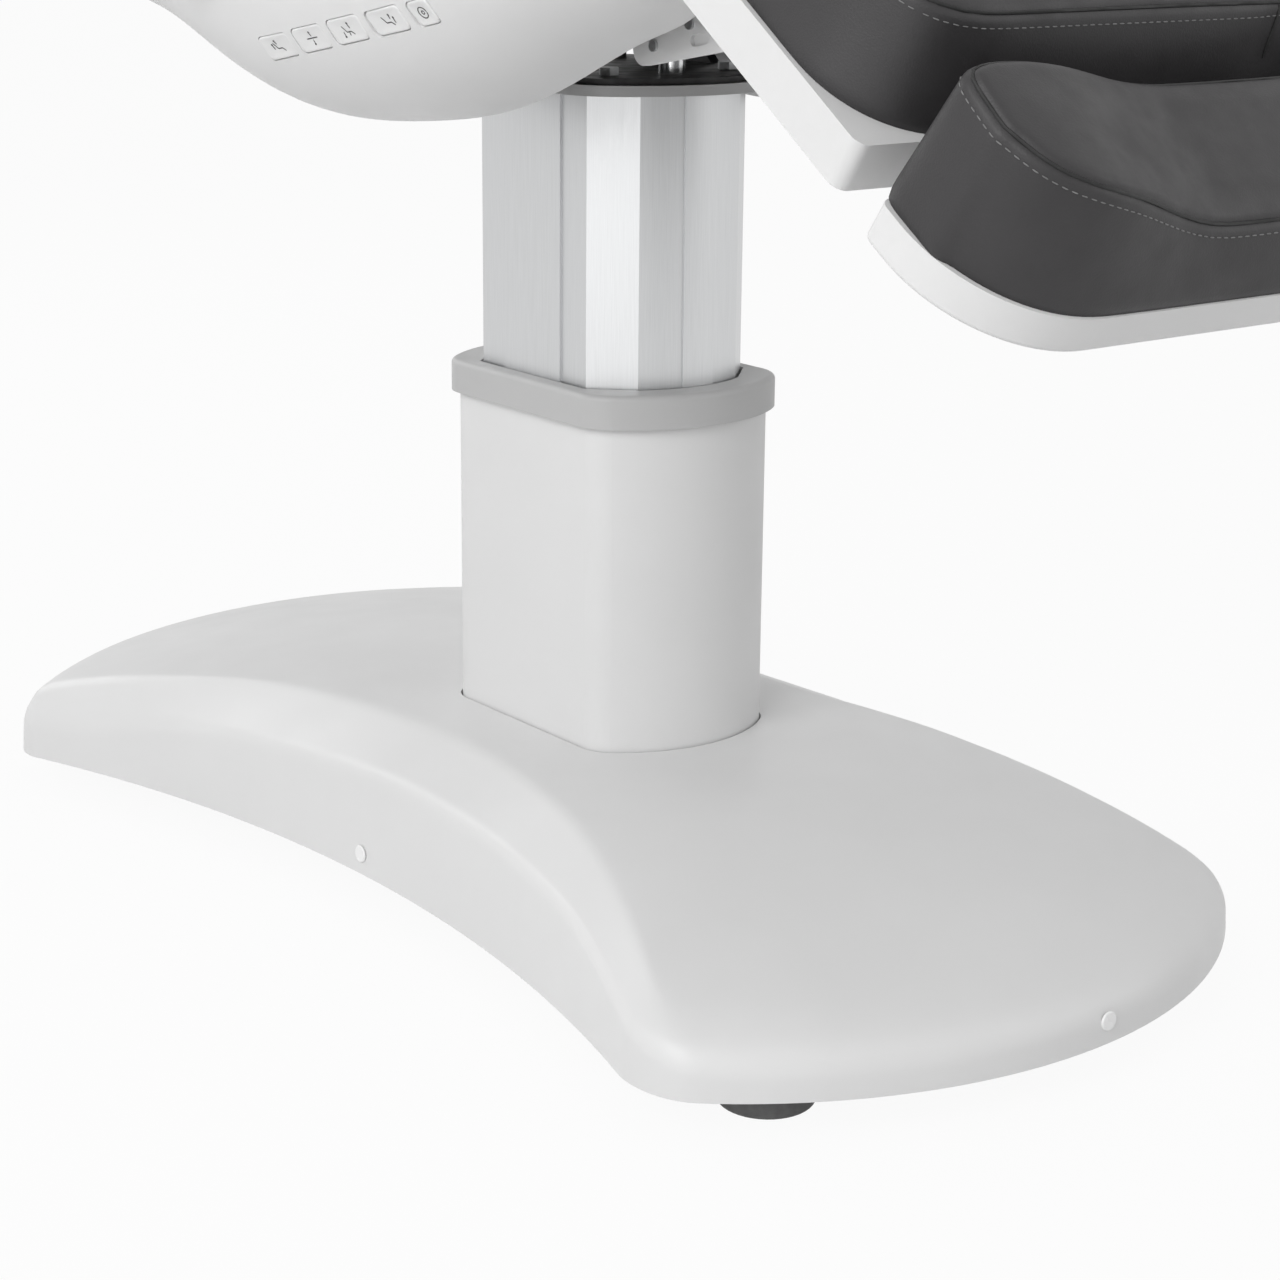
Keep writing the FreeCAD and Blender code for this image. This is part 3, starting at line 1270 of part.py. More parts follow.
def make_side_covers():
    cover = Part.makeLoft([cover_section(y, depth) for y, depth in cover_depths], True, False)
    cover = joined([cover, end_wall(cover_depths[0], 1), end_wall(cover_depths[-1], -1)])
    pass_through = box((rail_outer, arm_bar_y - lug_gap, shell_bottom - arm_bar_height - lug_gap),
                       (arm_post_inner, arm_bar_y + arm_bar_width + lug_gap, shell_bottom))
    cover = cover.cut(pass_through)
    for index, (y, width) in enumerate(button_places()):
        hole = button_block(y, width + 2 * button_gap, button_height + 2 * button_gap, button_depth * 2,
                            button_corner_r, button_depth)
        cover = cover.cut(button_frame(hole, y))
        button = button_block(y, width, button_height, button_depth, button_corner_r, button_proud)
        button = button_frame(button, y)
        export("button_left_" + str(index + 1), on_seat(button))
        export("button_right_" + str(index + 1), on_seat(mirrored(button)))
    export("side_cover_left", on_seat(cover))
    export("side_cover_right", on_seat(mirrored(cover)))

    inner = lug_outer
    outer = inner + bracket_thick
    plate = box((inner, bracket_front, bracket_low), (outer, bracket_rear, shell_bottom))
    corner = [edge for edge in plate.Edges
              if edge.BoundBox.YMin > bracket_rear - pin_gap and edge.BoundBox.ZMax < bracket_low + pin_gap]
    plate = plate.makeFillet(bracket_corner_r, corner)
    spacer = box((rail_outer, bracket_front + spacer_inset, rail_bottom + rail_wall),
                 (inner, bracket_rear, shell_bottom - rail_wall))
    bracket = plate.fuse(spacer).removeSplitter()
    pocket_y = bracket_rear - bracket_pocket[0]
    pocket_z = bracket_low + bracket_pocket[1]
    pocket = box((outer - pocket_deep, pocket_y - pocket_half, pocket_z - pocket_r),
                 (outer, pocket_y + pocket_half, pocket_z + pocket_r))
    for end in (-pocket_half, pocket_half):
        start = (outer - pocket_deep, pocket_y + end, pocket_z)
        pocket = pocket.fuse(rod(start, (1, 0, 0), pocket_r, pocket_deep))
    bracket = bracket.cut(pocket.removeSplitter())
    screws = []
    for inset, rise in bracket_screw_places:
        y = bracket_rear - inset
        z = bracket_low + rise
        bracket = bracket.cut(rod((inner, y, z), (1, 0, 0), bracket_shank_r + pin_gap, bracket_thick))
        shank = rod((inner, y, z), (1, 0, 0), bracket_shank_r, bracket_thick)
        head = rod((outer, y, z), (1, 0, 0), bracket_screw_r, bracket_screw_head)
        screws.append(shank.fuse(head).removeSplitter())
    export("cover_bracket_left", on_seat(bracket))
    export("cover_bracket_right", on_seat(mirrored(bracket)))
    both = screws + [mirrored(screw) for screw in screws]
    export("bracket_screws", on_seat(Part.makeCompound(both)))


def make_arms():
    inner = arm_post_inner + arm_post_thick + arm_gap
    post_y = arm_bar_y + arm_bar_width / 2
    rear = arm_bar_y + arm_bar_width
    bar_low = arm_pivot_z - arm_plate_height / 2
    bar_high = arm_pivot_z + arm_plate_height / 2
    bar = box((inner, rear - arm_length, bar_low), (inner + arm_plate_thick, rear, bar_high))
    shelf = box((inner, rear - arm_length, bar_high - shell_wall),
                (inner + arm_pad_width - arm_pad_lean, rear - arm_plate_height, bar_high))
    bore = rod((inner, post_y, arm_pivot_z), (1, 0, 0), arm_pin_r + pin_gap, arm_plate_thick)
    bar = bar.fuse(shelf).removeSplitter().cut(bore)
    pin = rod((arm_post_inner, post_y, arm_pivot_z), (1, 0, 0), arm_pin_r,
              arm_post_thick + arm_gap + arm_plate_thick)
    outer_head = rod((inner + arm_plate_thick + arm_gap / 2, post_y, arm_pivot_z), (1, 0, 0),
                     arm_pin_r + arm_pin_head, arm_pin_head)
    neck = rod((inner + arm_plate_thick, post_y, arm_pivot_z), (1, 0, 0), arm_pin_r, arm_gap / 2)
    inner_head = rod((arm_post_inner - arm_pin_head, post_y, arm_pivot_z), (1, 0, 0),
                     arm_pin_r + arm_pin_head, arm_pin_head)
    pin = joined([pin, neck, outer_head, inner_head])
    half = arm_pad_width / 2
    low = Panel(half, half, rear - arm_length - arm_pad_lean, rear, arm_pad_corner_r, arm_pad_corner_r)
    up = Panel(half - arm_pad_lean, half - arm_pad_lean, rear - arm_length, rear - arm_pad_lean,
               arm_pad_corner_r, arm_pad_corner_r)
    top = bar_high + arm_pad_thick
    reach = (rear - arm_length - arm_pad_lean, rear)
    edges = [three_point([(-half, top - bolster_crown), (0.0, top), (half, top - bolster_crown)], reach[0])]
    pad = crowned_pad(low, up, bar_high, top + bolster_crown, edges, reach, None)
    pad.translate(vec(inner + half, 0, 0))

    for side, shape in (("left", lambda solid: solid), ("right", mirrored)):
        export("arm_bar_" + side, on_seat(shape(bar)))
        export("arm_pad_" + side, on_seat(shape(pad)))
    export("arm_pins", on_seat(Part.makeCompound(pair(pin))))


os.makedirs("parts", exist_ok=True)
make_base()
make_column()
make_seat()
make_actuators()
make_leg_rest()
make_foot_rest()
make_back_rest()
make_side_covers()
make_arms()
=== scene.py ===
import json
import math

import bmesh
import bpy
import numpy as np
from mathutils import Matrix, Vector


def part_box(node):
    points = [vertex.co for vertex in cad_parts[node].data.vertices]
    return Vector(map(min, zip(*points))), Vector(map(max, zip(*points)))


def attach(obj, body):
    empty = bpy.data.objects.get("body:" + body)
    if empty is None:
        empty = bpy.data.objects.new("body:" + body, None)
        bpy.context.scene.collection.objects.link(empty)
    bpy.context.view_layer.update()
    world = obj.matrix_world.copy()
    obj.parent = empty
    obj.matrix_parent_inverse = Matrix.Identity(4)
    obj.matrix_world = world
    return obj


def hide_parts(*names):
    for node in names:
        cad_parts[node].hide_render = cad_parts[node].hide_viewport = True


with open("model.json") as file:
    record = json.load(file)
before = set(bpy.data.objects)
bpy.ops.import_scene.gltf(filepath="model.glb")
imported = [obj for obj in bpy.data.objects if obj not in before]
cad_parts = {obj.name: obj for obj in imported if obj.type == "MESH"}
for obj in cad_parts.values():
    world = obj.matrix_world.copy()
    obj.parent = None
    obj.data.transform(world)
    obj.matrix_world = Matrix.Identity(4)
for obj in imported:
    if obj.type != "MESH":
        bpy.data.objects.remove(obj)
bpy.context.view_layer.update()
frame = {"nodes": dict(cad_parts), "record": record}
scene = bpy.context.scene
nodes = frame["nodes"]

# Sizes are in millimetres, as in the solids. Meshes, lamps and the camera are placed in metres.
# Panels are drawn lying flat, and then turned to the rest pose about their hinges, given as (y, z).
MM = 0.001
SEAT_TILT, LEG_TURN, BACK_TURN = 10.0, 45.0, 63.0
PIVOT = (75.0, 640.0)
KNEE = (-332.0, 705.0)
BACK = (168.0, 705.0)
SHELL_BOTTOM, RIM_Z, HALF = 665.0, 693.0, 270.0


def turned(p, angle, centre):
    """Points turned about the line along X through centre; a positive angle lifts +Y."""
    a = math.radians(angle)
    q = np.array(p, float)
    y, z = q[:, 1] - centre[0], q[:, 2] - centre[1]
    q[:, 1] = centre[0] + y * math.cos(a) - z * math.sin(a)
    q[:, 2] = centre[1] + y * math.sin(a) + z * math.cos(a)
    return q


def still(p):
    return np.array(p, float)


def on_seat(p):
    return turned(p, -SEAT_TILT, PIVOT)


def on_leg(p):
    return on_seat(turned(p, LEG_TURN, KNEE))


def on_back(p):
    return on_seat(turned(p, BACK_TURN, BACK))


# Meshes


def mesh_object(name, verts, faces):
    mesh = bpy.data.meshes.new(name)
    mesh.from_pydata([tuple(v) for v in verts], [], [tuple(f) for f in faces])
    mesh.update()
    obj = bpy.data.objects.new(name, mesh)
    scene.collection.objects.link(obj)
    return obj


def smooth(obj, angle=35.0):
    """Smooth shading, with edges sharper than the angle kept."""
    bm = bmesh.new()
    bm.from_mesh(obj.data)
    for face in bm.faces:
        face.smooth = True
    limit = math.radians(angle)
    for edge in bm.edges:
        edge.smooth = len(edge.link_faces) == 2 and edge.calc_face_angle(0.0) < limit
    bm.to_mesh(obj.data)
    bm.free()


def apply_modifiers(obj):
    bpy.context.view_layer.update()
    depsgraph = bpy.context.evaluated_depsgraph_get()
    mesh = bpy.data.meshes.new_from_object(obj.evaluated_get(depsgraph))
    obj.modifiers.clear()
    obj.data = mesh


def eased(t):
    """From 0 to 1 with a soft start and end."""
    t = np.clip(t, 0.0, 1.0)
    return t * t * (3 - 2 * t)


def round_max(a, b, r):
    """The larger of two distances, with the edge between them rounded."""
    u = np.maximum(a + r, 0.0)
    v = np.maximum(b + r, 0.0)
    return np.minimum(np.maximum(a, b), -r) + np.hypot(u, v)


def settle(points, form, steps=9):
    """Points moved on to the surface where form is zero."""
    p = np.array(points, float)
    e, least_size, longest = 0.05, 0.05, 30.0
    for _ in range(steps):
        value = form(p)
        grad = np.zeros_like(p)
        for axis in range(3):
            q = p.copy()
            q[:, axis] += e
            high = form(q)
            q[:, axis] -= 2 * e
            grad[:, axis] = (high - form(q)) / (2 * e)
        size = np.maximum((grad ** 2).sum(1), least_size)
        step = (value / size)[:, None] * grad
        reach = np.linalg.norm(step, axis=1)
        p -= step * np.minimum(1.0, longest / np.maximum(reach, 1e-9))[:, None]
    return p


def open_box_grid(nx, ny, nz):
    """A box from -1 to 1 with no bottom and its faces divided, as points and outward quads."""
    index, points, quads = {}, [], []

    def vertex(i, j, k):
        key = (i, j, k)
        if key not in index:
            index[key] = len(points)
            points.append((2 * i / nx - 1, 2 * j / ny - 1, 2 * k / nz - 1))
        return index[key]

    def quad(*corners):
        quads.append([vertex(*corner) for corner in corners])

    for i in range(nx):
        for j in range(ny):
            quad((i, j, nz), (i + 1, j, nz), (i + 1, j + 1, nz), (i, j + 1, nz))
    for i in range(nx):
        for k in range(nz):
            quad((i, 0, k), (i + 1, 0, k), (i + 1, 0, k + 1), (i, 0, k + 1))
            quad((i, ny, k), (i, ny, k + 1), (i + 1, ny, k + 1), (i + 1, ny, k))
    for j in range(ny):
        for k in range(nz):
            quad((0, j, k), (0, j, k + 1), (0, j + 1, k + 1), (0, j + 1, k))
            quad((nx, j, k), (nx, j + 1, k), (nx, j + 1, k + 1), (nx, j, k + 1))
    return np.array(points, float), quads


def finish_piece(obj, body, slot, *replaced):
    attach(obj, body)
    if replaced:
        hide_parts(*replaced)


def piece(name, points, quads, place, body, material, slot, *replaced):
    obj = mesh_object(name, place(points) * MM, quads)
    smooth(obj)
    obj.data.materials.append(material)
    finish_piece(obj, body, slot, *replaced)
    return obj


# Materials


class Nodes:
    """A material and short ways to add nodes to it."""

    def __init__(self, name):
        self.material = bpy.data.materials.new(name)
        self.material.use_nodes = True
        self.tree = self.material.node_tree
        self.shader = self.tree.nodes["Principled BSDF"]
        coords = self.tree.nodes.new("ShaderNodeTexCoord")
        self.coords = coords.outputs["Object"]

    def set(self, **values):
        for key, value in values.items():
            self.shader.inputs[key.replace("_", " ")].default_value = value

    def link(self, a, b):
        self.tree.links.new(a, b)

    def scaled(self, scale):
        mapping = self.tree.nodes.new("ShaderNodeMapping")
        mapping.inputs["Scale"].default_value = scale
        self.link(self.coords, mapping.inputs["Vector"])
        return mapping.outputs["Vector"]

    def noise(self, scale, detail=3.0, stretch=None, roughness=0.5):
        node = self.tree.nodes.new("ShaderNodeTexNoise")
        node.inputs["Scale"].default_value = scale
        node.inputs["Detail"].default_value = detail
        node.inputs["Roughness"].default_value = roughness
        self.link(self.scaled(stretch) if stretch else self.coords, node.inputs["Vector"])
        return node.outputs["Fac"]

    def cells(self, scale):
        node = self.tree.nodes.new("ShaderNodeTexVoronoi")
        node.inputs["Scale"].default_value = scale
        self.link(self.coords, node.inputs["Vector"])
        return node.outputs["Distance"]

    def ramp(self, fac, low, high, ends=(0.3, 0.7)):
        """From low to high, each a grey or a colour, between two levels of fac."""
        node = self.tree.nodes.new("ShaderNodeValToRGB")
        for element, place, value in zip(node.color_ramp.elements, ends, (low, high)):
            element.position = place
            element.color = value if isinstance(value, tuple) else (value, value, value, 1.0)
        self.link(fac, node.inputs["Fac"])
        return node.outputs["Color"]

    def bump(self, height, strength, distance, under=None):
        node = self.tree.nodes.new("ShaderNodeBump")
        node.inputs["Strength"].default_value = strength
        node.inputs["Distance"].default_value = distance
        self.link(height, node.inputs["Height"])
        if under is not None:
            self.link(under, node.inputs["Normal"])
        return node.outputs["Normal"]

    def colour(self, socket):
        self.link(socket, self.shader.inputs["Base Color"])

    def rough(self, socket):
        self.link(socket, self.shader.inputs["Roughness"])

    def normal(self, socket):
        self.link(socket, self.shader.inputs["Normal"])


def tint(value, warm=0.0, plum=0.0):
    return (value * (1 + warm), value * (1 - plum), value * (1 - warm), 1.0)


def moulded(name, low, high, rough, grain=900.0, depth=0.00006):
    """Moulded plastic: a slight mottle, uneven gloss and a fine eggshell surface."""
    m = Nodes(name)
    m.colour(m.ramp(m.noise(6.0, 3.0), low, high))
    m.rough(m.ramp(m.noise(25.0, 4.0), *rough))
    m.normal(m.bump(m.noise(grain, 2.0), 0.25, depth))
    return m.material


def leather(name, low, high, rough, plum=0.04):
    """Soft coated upholstery: pebbled grain, faint mottling and a low sheen."""
    m = Nodes(name)
    m.colour(m.ramp(m.noise(14.0, 5.0), tint(low, plum=plum), tint(high, plum=plum)))
    m.rough(m.ramp(m.noise(60.0, 3.0), *rough))
    pebbles = m.bump(m.cells(900.0), 0.32, 0.00018)
    creases = m.bump(m.noise(330.0, 4.0, roughness=0.6), 0.22, 0.0003, pebbles)
    m.normal(m.bump(m.noise(28.0, 2.0), 0.10, 0.0012, creases))
    m.set(Specular_IOR_Level=0.4)
    return m.material


def metal(name, low, high, rough, stretch, warm=-0.01):
    """Bare metal with fine drawn lines along one direction."""
    m = Nodes(name)
    lines = m.noise(40.0, 4.0, stretch)
    m.colour(m.ramp(lines, tint(low, warm), tint(high, warm)))
    m.rough(m.ramp(lines, *rough))
    m.normal(m.bump(lines, 0.08, 0.00005))
    m.set(Metallic=1.0)
    return m.material


def coated(name, low, high, rough, bump=0.3):
    """Powder coat, rubber, ink or thread, and the painted seam shade: speckled and slightly rough.
    """
    m = Nodes(name)
    m.colour(m.ramp(m.noise(160.0, 4.0), low, high, (0.35, 0.65)))
    m.rough(m.ramp(m.noise(70.0, 3.0), *rough))
    m.normal(m.bump(m.noise(1500.0, 2.0), bump, 0.00008))
    return m.material


WHITE = moulded("white_moulding", 0.72, 0.75, (0.36, 0.48), grain=1100.0)
COLUMN_WHITE = moulded("white_column", 0.70, 0.73, (0.42, 0.55), grain=700.0, depth=0.0001)
CAP_WHITE = moulded("white_cap", 0.86, 0.9, (0.2, 0.3))
BUTTON_WHITE = moulded("white_button", 0.74, 0.78, (0.35, 0.45))
GREY = moulded("grey_ring", 0.45, 0.48, (0.4, 0.52))
PLATE_GREY = moulded("grey_plate", 0.42, 0.46, (0.3, 0.42))
UPHOLSTERY = leather("upholstery", 0.032, 0.039, (0.44, 0.56))
# Painted seam shade: a near-black tube laid along the pads' seams and channels, darker than the
# upholstery, stands in for the shade in their grooves.
PAINTED_SEAM_SHADE = coated("seam_shadow", 0.012, 0.018, (0.6, 0.75), bump=0.1)
THREAD = coated("thread", 0.15, 0.20, (0.5, 0.7))
INK = coated("ink", 0.05, 0.07, (0.5, 0.65), bump=0.05)
ALUMINIUM = metal("column_aluminium", 0.60, 0.66, (0.34, 0.44), (60.0, 60.0, 0.8))
BRIGHT = metal("bright_steel", 0.68, 0.76, (0.12, 0.2), (1.0, 1.0, 30.0))
ZINC = metal("zinc_steel", 0.5, 0.6, (0.3, 0.42), (6.0, 6.0, 6.0))
DARK = coated("powder_black", 0.018, 0.028, (0.4, 0.6))
BLACK = moulded("black_plastic", 0.014, 0.022, (0.42, 0.58))
RUBBER = coated("foot_rubber", 0.12, 0.15, (0.6, 0.8))

SLOT_LOOKS = {
    "white_shell": WHITE, "white_caps": CAP_WHITE, "button_white": BUTTON_WHITE,
    "grey_plastic": GREY, "black_plastic": BLACK, "upholstery": UPHOLSTERY,
    "foot_rubber": RUBBER, "column_aluminium": ALUMINIUM, "bright_steel": BRIGHT,
    "fastener_steel": ZINC, "dark_steel": DARK,
}
NODE_LOOKS = {"outer_column": COLUMN_WHITE, "head_plate": PLATE_GREY}
for part in frame["record"]["subparts"]:
    materials = nodes[part["node"]].data.materials
    materials.clear()
    materials.append(NODE_LOOKS.get(part["node"], SLOT_LOOKS[part["material_slot"]]))

# Camera, floor and light

CAMERA_PLACE = (-1.1355, -1.5168, 0.727)
CAMERA_RIGHT = (0.79512, -0.60639, 0.00923)
CAMERA_UP = (0.16255, 0.22775, 0.96007)
CAMERA_BACK = (-0.58427, -0.76186, 0.27965)
FLOOR_HALF, FLOOR_GREYS, FLOOR_WHITE = 30.0, (0.69, 0.71), 0.94
HORIZON, ZENITH = 0.64, 0.41

camera = bpy.data.objects.new("camera", bpy.data.cameras.new("camera"))
scene.collection.objects.link(camera)
camera.data.sensor_fit = "HORIZONTAL"
camera.data.sensor_width = 36.0
camera.data.lens = 76.68
camera_turn = Matrix((CAMERA_RIGHT, CAMERA_UP, CAMERA_BACK)).transposed().to_4x4()
camera.matrix_world = Matrix.Translation(CAMERA_PLACE) @ camera_turn
scene.camera = camera
scene.view_settings.view_transform = "Standard"


def white_to_camera(tree, lit, share):
    """Mixes a shader with plain white for what the camera, mirrors and glass see."""
    rays = tree.nodes.new("ShaderNodeLightPath").outputs
    seen = rays["Is Camera Ray"]
    for ray in ("Is Glossy Ray", "Is Transmission Ray"):
        either = tree.nodes.new("ShaderNodeMath")
        either.operation = "MAXIMUM"
        tree.links.new(seen, either.inputs[0])
        tree.links.new(rays[ray], either.inputs[1])
        seen = either.outputs[0]
    amount = tree.nodes.new("ShaderNodeMath")
    amount.operation = "MULTIPLY"
    amount.inputs[1].default_value = share
    tree.links.new(seen, amount.inputs[0])
    glow = tree.nodes.new("ShaderNodeEmission")
    glow.inputs["Color"].default_value = (1.0, 1.0, 1.0, 1.0)
    glow.inputs["Strength"].default_value = 1.0
    mix = tree.nodes.new("ShaderNodeMixShader")
    tree.links.new(amount.outputs[0], mix.inputs[0])
    tree.links.new(lit, mix.inputs[1])
    tree.links.new(glow.outputs[0], mix.inputs[2])
    return mix.outputs[0]


floor_corners = [(-FLOOR_HALF, -FLOOR_HALF, 0), (FLOOR_HALF, -FLOOR_HALF, 0),
                 (FLOOR_HALF, FLOOR_HALF, 0), (-FLOOR_HALF, FLOOR_HALF, 0)]
floor = mesh_object("floor", floor_corners, [(0, 1, 2, 3)])
floor_look = Nodes("floor")
floor_look.colour(floor_look.ramp(floor_look.noise(2.0), *FLOOR_GREYS))
floor_look.set(Roughness=0.9, Specular_IOR_Level=0.1)
floor_lit = white_to_camera(floor_look.tree, floor_look.shader.outputs[0], FLOOR_WHITE)
floor_look.link(floor_lit, floor_look.tree.nodes["Material Output"].inputs["Surface"])
floor.data.materials.append(floor_look.material)

world = bpy.data.worlds.new("world")
world.use_nodes = True
scene.world = world
world_tree = world.node_tree
sky = world_tree.nodes["Background"]
sky.inputs["Strength"].default_value = 1.0
way = world_tree.nodes.new("ShaderNodeTexCoord")
parts = world_tree.nodes.new("ShaderNodeSeparateXYZ")
world_tree.links.new(way.outputs["Generated"], parts.inputs[0])
level = world_tree.nodes.new("ShaderNodeValToRGB")
for element, grey in zip(level.color_ramp.elements, (HORIZON, ZENITH)):
    element.color = (grey, grey, grey, 1.0)
world_tree.links.new(parts.outputs["Z"], level.inputs["Fac"])
world_tree.links.new(level.outputs["Color"], sky.inputs["Color"])
world_lit = white_to_camera(world_tree, sky.outputs[0], 1.0)
world_tree.links.new(world_lit, world_tree.nodes["World Output"].inputs["Surface"])


def lamp(name, place, target, size, power):
    data = bpy.data.lights.new(name, "AREA")
    data.shape = "RECTANGLE"
    data.size, data.size_y = size
    data.energy = power
    obj = bpy.data.objects.new(name, data)
    scene.collection.objects.link(obj)
    obj.location = place
    aim = Vector(target) - Vector(place)
    obj.rotation_euler = aim.to_track_quat("-Z", "Y").to_euler()


lamp("key", (-2.95, -1.25, 2.1), (0.0, -0.1, 0.4), (2.4, 2.0), 67.0)
lamp("low_card", (-2.1, -1.55, 0.3), (0.0, 0.0, 0.5), (0.9, 0.5), 2.2)
lamp("fill", (2.4, -2.6, 1.8), (0.0, -0.2, 0.4), (2.0, 2.0), 14.0)
lamp("rear", (-0.6, 2.9, 1.6), (-0.1, 0.4, 0.1), (1.6, 1.2), 14.0)

# Base cover: a skirt, a sloping band all round and a domed top, with a crease between each

BASE_WAIST, BASE_SIDE_R, FRONT_END_R, REAR_END_R = 192.0, 1135.0, 352.0, 374.0
BASE_FRONT, BASE_REAR, BASE_LOW, BASE_TOP = 478.0, 542.0, 27.0, 127.0
BASE_DRAFT, BASE_WALL, FRONT_CORNER_R, REAR_CORNER_R = 7.0, 4.0, 32.0, 18.0
FRONT_CORNER_Y, REAR_CORNER_Y = -371.0, 425.0
DOME_FLAT_R, DOME_EASE, LEAST_RISE = 188.0, 200.0, 5.0
FRONT_FALL_R, REAR_FALL_R, FRONT_STRETCH, REAR_STRETCH = 605.0, 1290.0, 1.17, 1.3

# The creases' radii, and what is added to them towards the front and rear ends
UPPER_R, UPPER_FRONT_R, UPPER_REAR_R = 1.6, 1.4, 5.4
LOWER_R, LOWER_FRONT_R = 4.5, 5.0
FRONT_FROM, FRONT_OVER, REAR_FROM, REAR_OVER = 330.0, 60.0, 240.0, 110.0

# The mesh: its share inside the band, how its lines are spread, and how its corners are relaxed
BASE_GRID, RIM_REACH = (72, 150, 14), 1.5
BAND_SHARE, BAND_POWER, END_POWER, WALL_POWER = 0.62, 1.3, 1.5, 1.4
RELAX_REACH, RELAX_EASE, RELAX_SHARE, RELAX_ROUNDS = 80.0, 40.0, 0.7, 14

# Height of the lower crease, and width of the band, as (y, value)
CREASE = ((-478, 53), (-400, 52), (-357, 59), (-330, 65), (-300, 75), (-270, 86), (-240, 93.5),
          (-180, 100.5), (-110, 104.5), (-42, 106.5), (23, 104.7), (85, 100.5), (145, 96),
          (203, 91), (243, 86), (287, 78), (340, 67.7), (391, 59), (450, 56), (542, 55))
BAND = ((-478, 26), (-411, 25), (-343, 22), (-312, 25), (-268, 32), (-207, 41), (-140, 47.5),
        (-59, 56), (8, 58.4), (66, 56), (122, 52.5), (173, 46.6), (221, 39.5), (273, 28.3),
        (330, 22), (400, 18), (542, 18))
TABLE_FROM, TABLE_TO, TABLE_STEP, TABLE_BLUR = -560.0, 620.0, 4.0, 8

# The holes for the column and the mains inlet
COLUMN_HALF, COLUMN_REACH, COLUMN_END_R, COLUMN_CORNER_R = 75.3, 114.0, 104.0, 25.0
COLUMN_GAP = 1.6
OPENING_LOW, OPENING_HIGH = 60.0, 180.0
INLET_LAP, INLET_FRONT, INLET_REAR = 4.0, 400.0, 600.0


def eased_table(table, y):
    """A smooth value along Y through the table's points."""
    fine = np.arange(TABLE_FROM, TABLE_TO, TABLE_STEP)
    values = np.pad(np.interp(fine, *np.array(table, float).T), TABLE_BLUR, mode="edge")
    weights = np.hanning(2 * TABLE_BLUR + 1)
    return np.interp(y, fine, np.convolve(values, weights / weights.sum(), mode="valid"))


def draft(z):
    """How far the skirt leans in at a height."""
    return BASE_DRAFT * (z - BASE_LOW) / (BASE_TOP - BASE_LOW)


def base_side(y):
    """Place along X of the side's outline at y."""
    return BASE_WAIST + BASE_SIDE_R - np.sqrt(BASE_SIDE_R ** 2 - y ** 2)


def base_end(x, y):
    """Place along Y of the front or rear end's outline at x."""
    end_r = np.where(y < 0, FRONT_END_R, REAR_END_R)
    reach = np.sqrt(np.maximum(end_r ** 2 - x ** 2, 0.0)) - end_r
    return np.where(y < 0, -BASE_FRONT - reach, BASE_REAR + reach)


def base_plan(x, y):
    """Distance from the outline, less than zero inside."""
    side = BASE_SIDE_R - np.hypot(np.abs(x) - BASE_WAIST - BASE_SIDE_R, y)
    end_r = np.where(y < 0, FRONT_END_R, REAR_END_R)
    centre = np.where(y < 0, FRONT_END_R - BASE_FRONT, BASE_REAR - REAR_END_R)
    corner_r = np.where(y < 0, FRONT_CORNER_R, REAR_CORNER_R)
    return round_max(side, np.hypot(x, y - centre) - end_r, corner_r)


def base_dome(x, y):
    """Height of the top."""
    share = eased((y + DOME_EASE) / (2 * DOME_EASE))
    stretch = FRONT_STRETCH + (REAR_STRETCH - FRONT_STRETCH) * share
    past = np.maximum(np.hypot(stretch * x, y) - DOME_FLAT_R, 0.0)
    fall_r = FRONT_FALL_R + (REAR_FALL_R - FRONT_FALL_R) * share
    return BASE_TOP - past ** 2 / (2 * fall_r)


def base_band(x, y):
    """Height of the sloping band, its slope, and the height of its lower crease."""
    inside = -base_plan(x, y)
    e = 0.5
    way_x = base_plan(x + e, y) - base_plan(x - e, y)
    way_y = base_plan(x, y + e) - base_plan(x, y - e)
    size = np.maximum(np.hypot(way_x, way_y), 1e-6)
    edge_y = y + way_y / size * inside
    width = eased_table(BAND, edge_y)
    crease = eased_table(CREASE, edge_y)
    inset = draft(crease)
    top = base_dome(x - way_x / size * (width - inside), y - way_y / size * (width - inside))
    slope = np.maximum(top - crease, LEAST_RISE) / (width - inset)
    return crease + slope * (inside - inset), slope, crease


def base_form(p):
    x, y, z = p[:, 0], p[:, 1], p[:, 2]
    skirt = base_plan(x, y) + draft(z)
    height, slope, _ = base_band(x, y)
    band = (z - height) / np.sqrt(1 + slope ** 2)
    top = z - base_dome(x, y)
    front = eased((-y - FRONT_FROM) / FRONT_OVER)
    rear = eased((y - REAR_FROM) / REAR_OVER)
    upper_r = UPPER_R + UPPER_FRONT_R * front + UPPER_REAR_R * rear
    lower_r = LOWER_R + LOWER_FRONT_R * front
    return round_max(round_max(skirt, band, lower_r), top, upper_r)


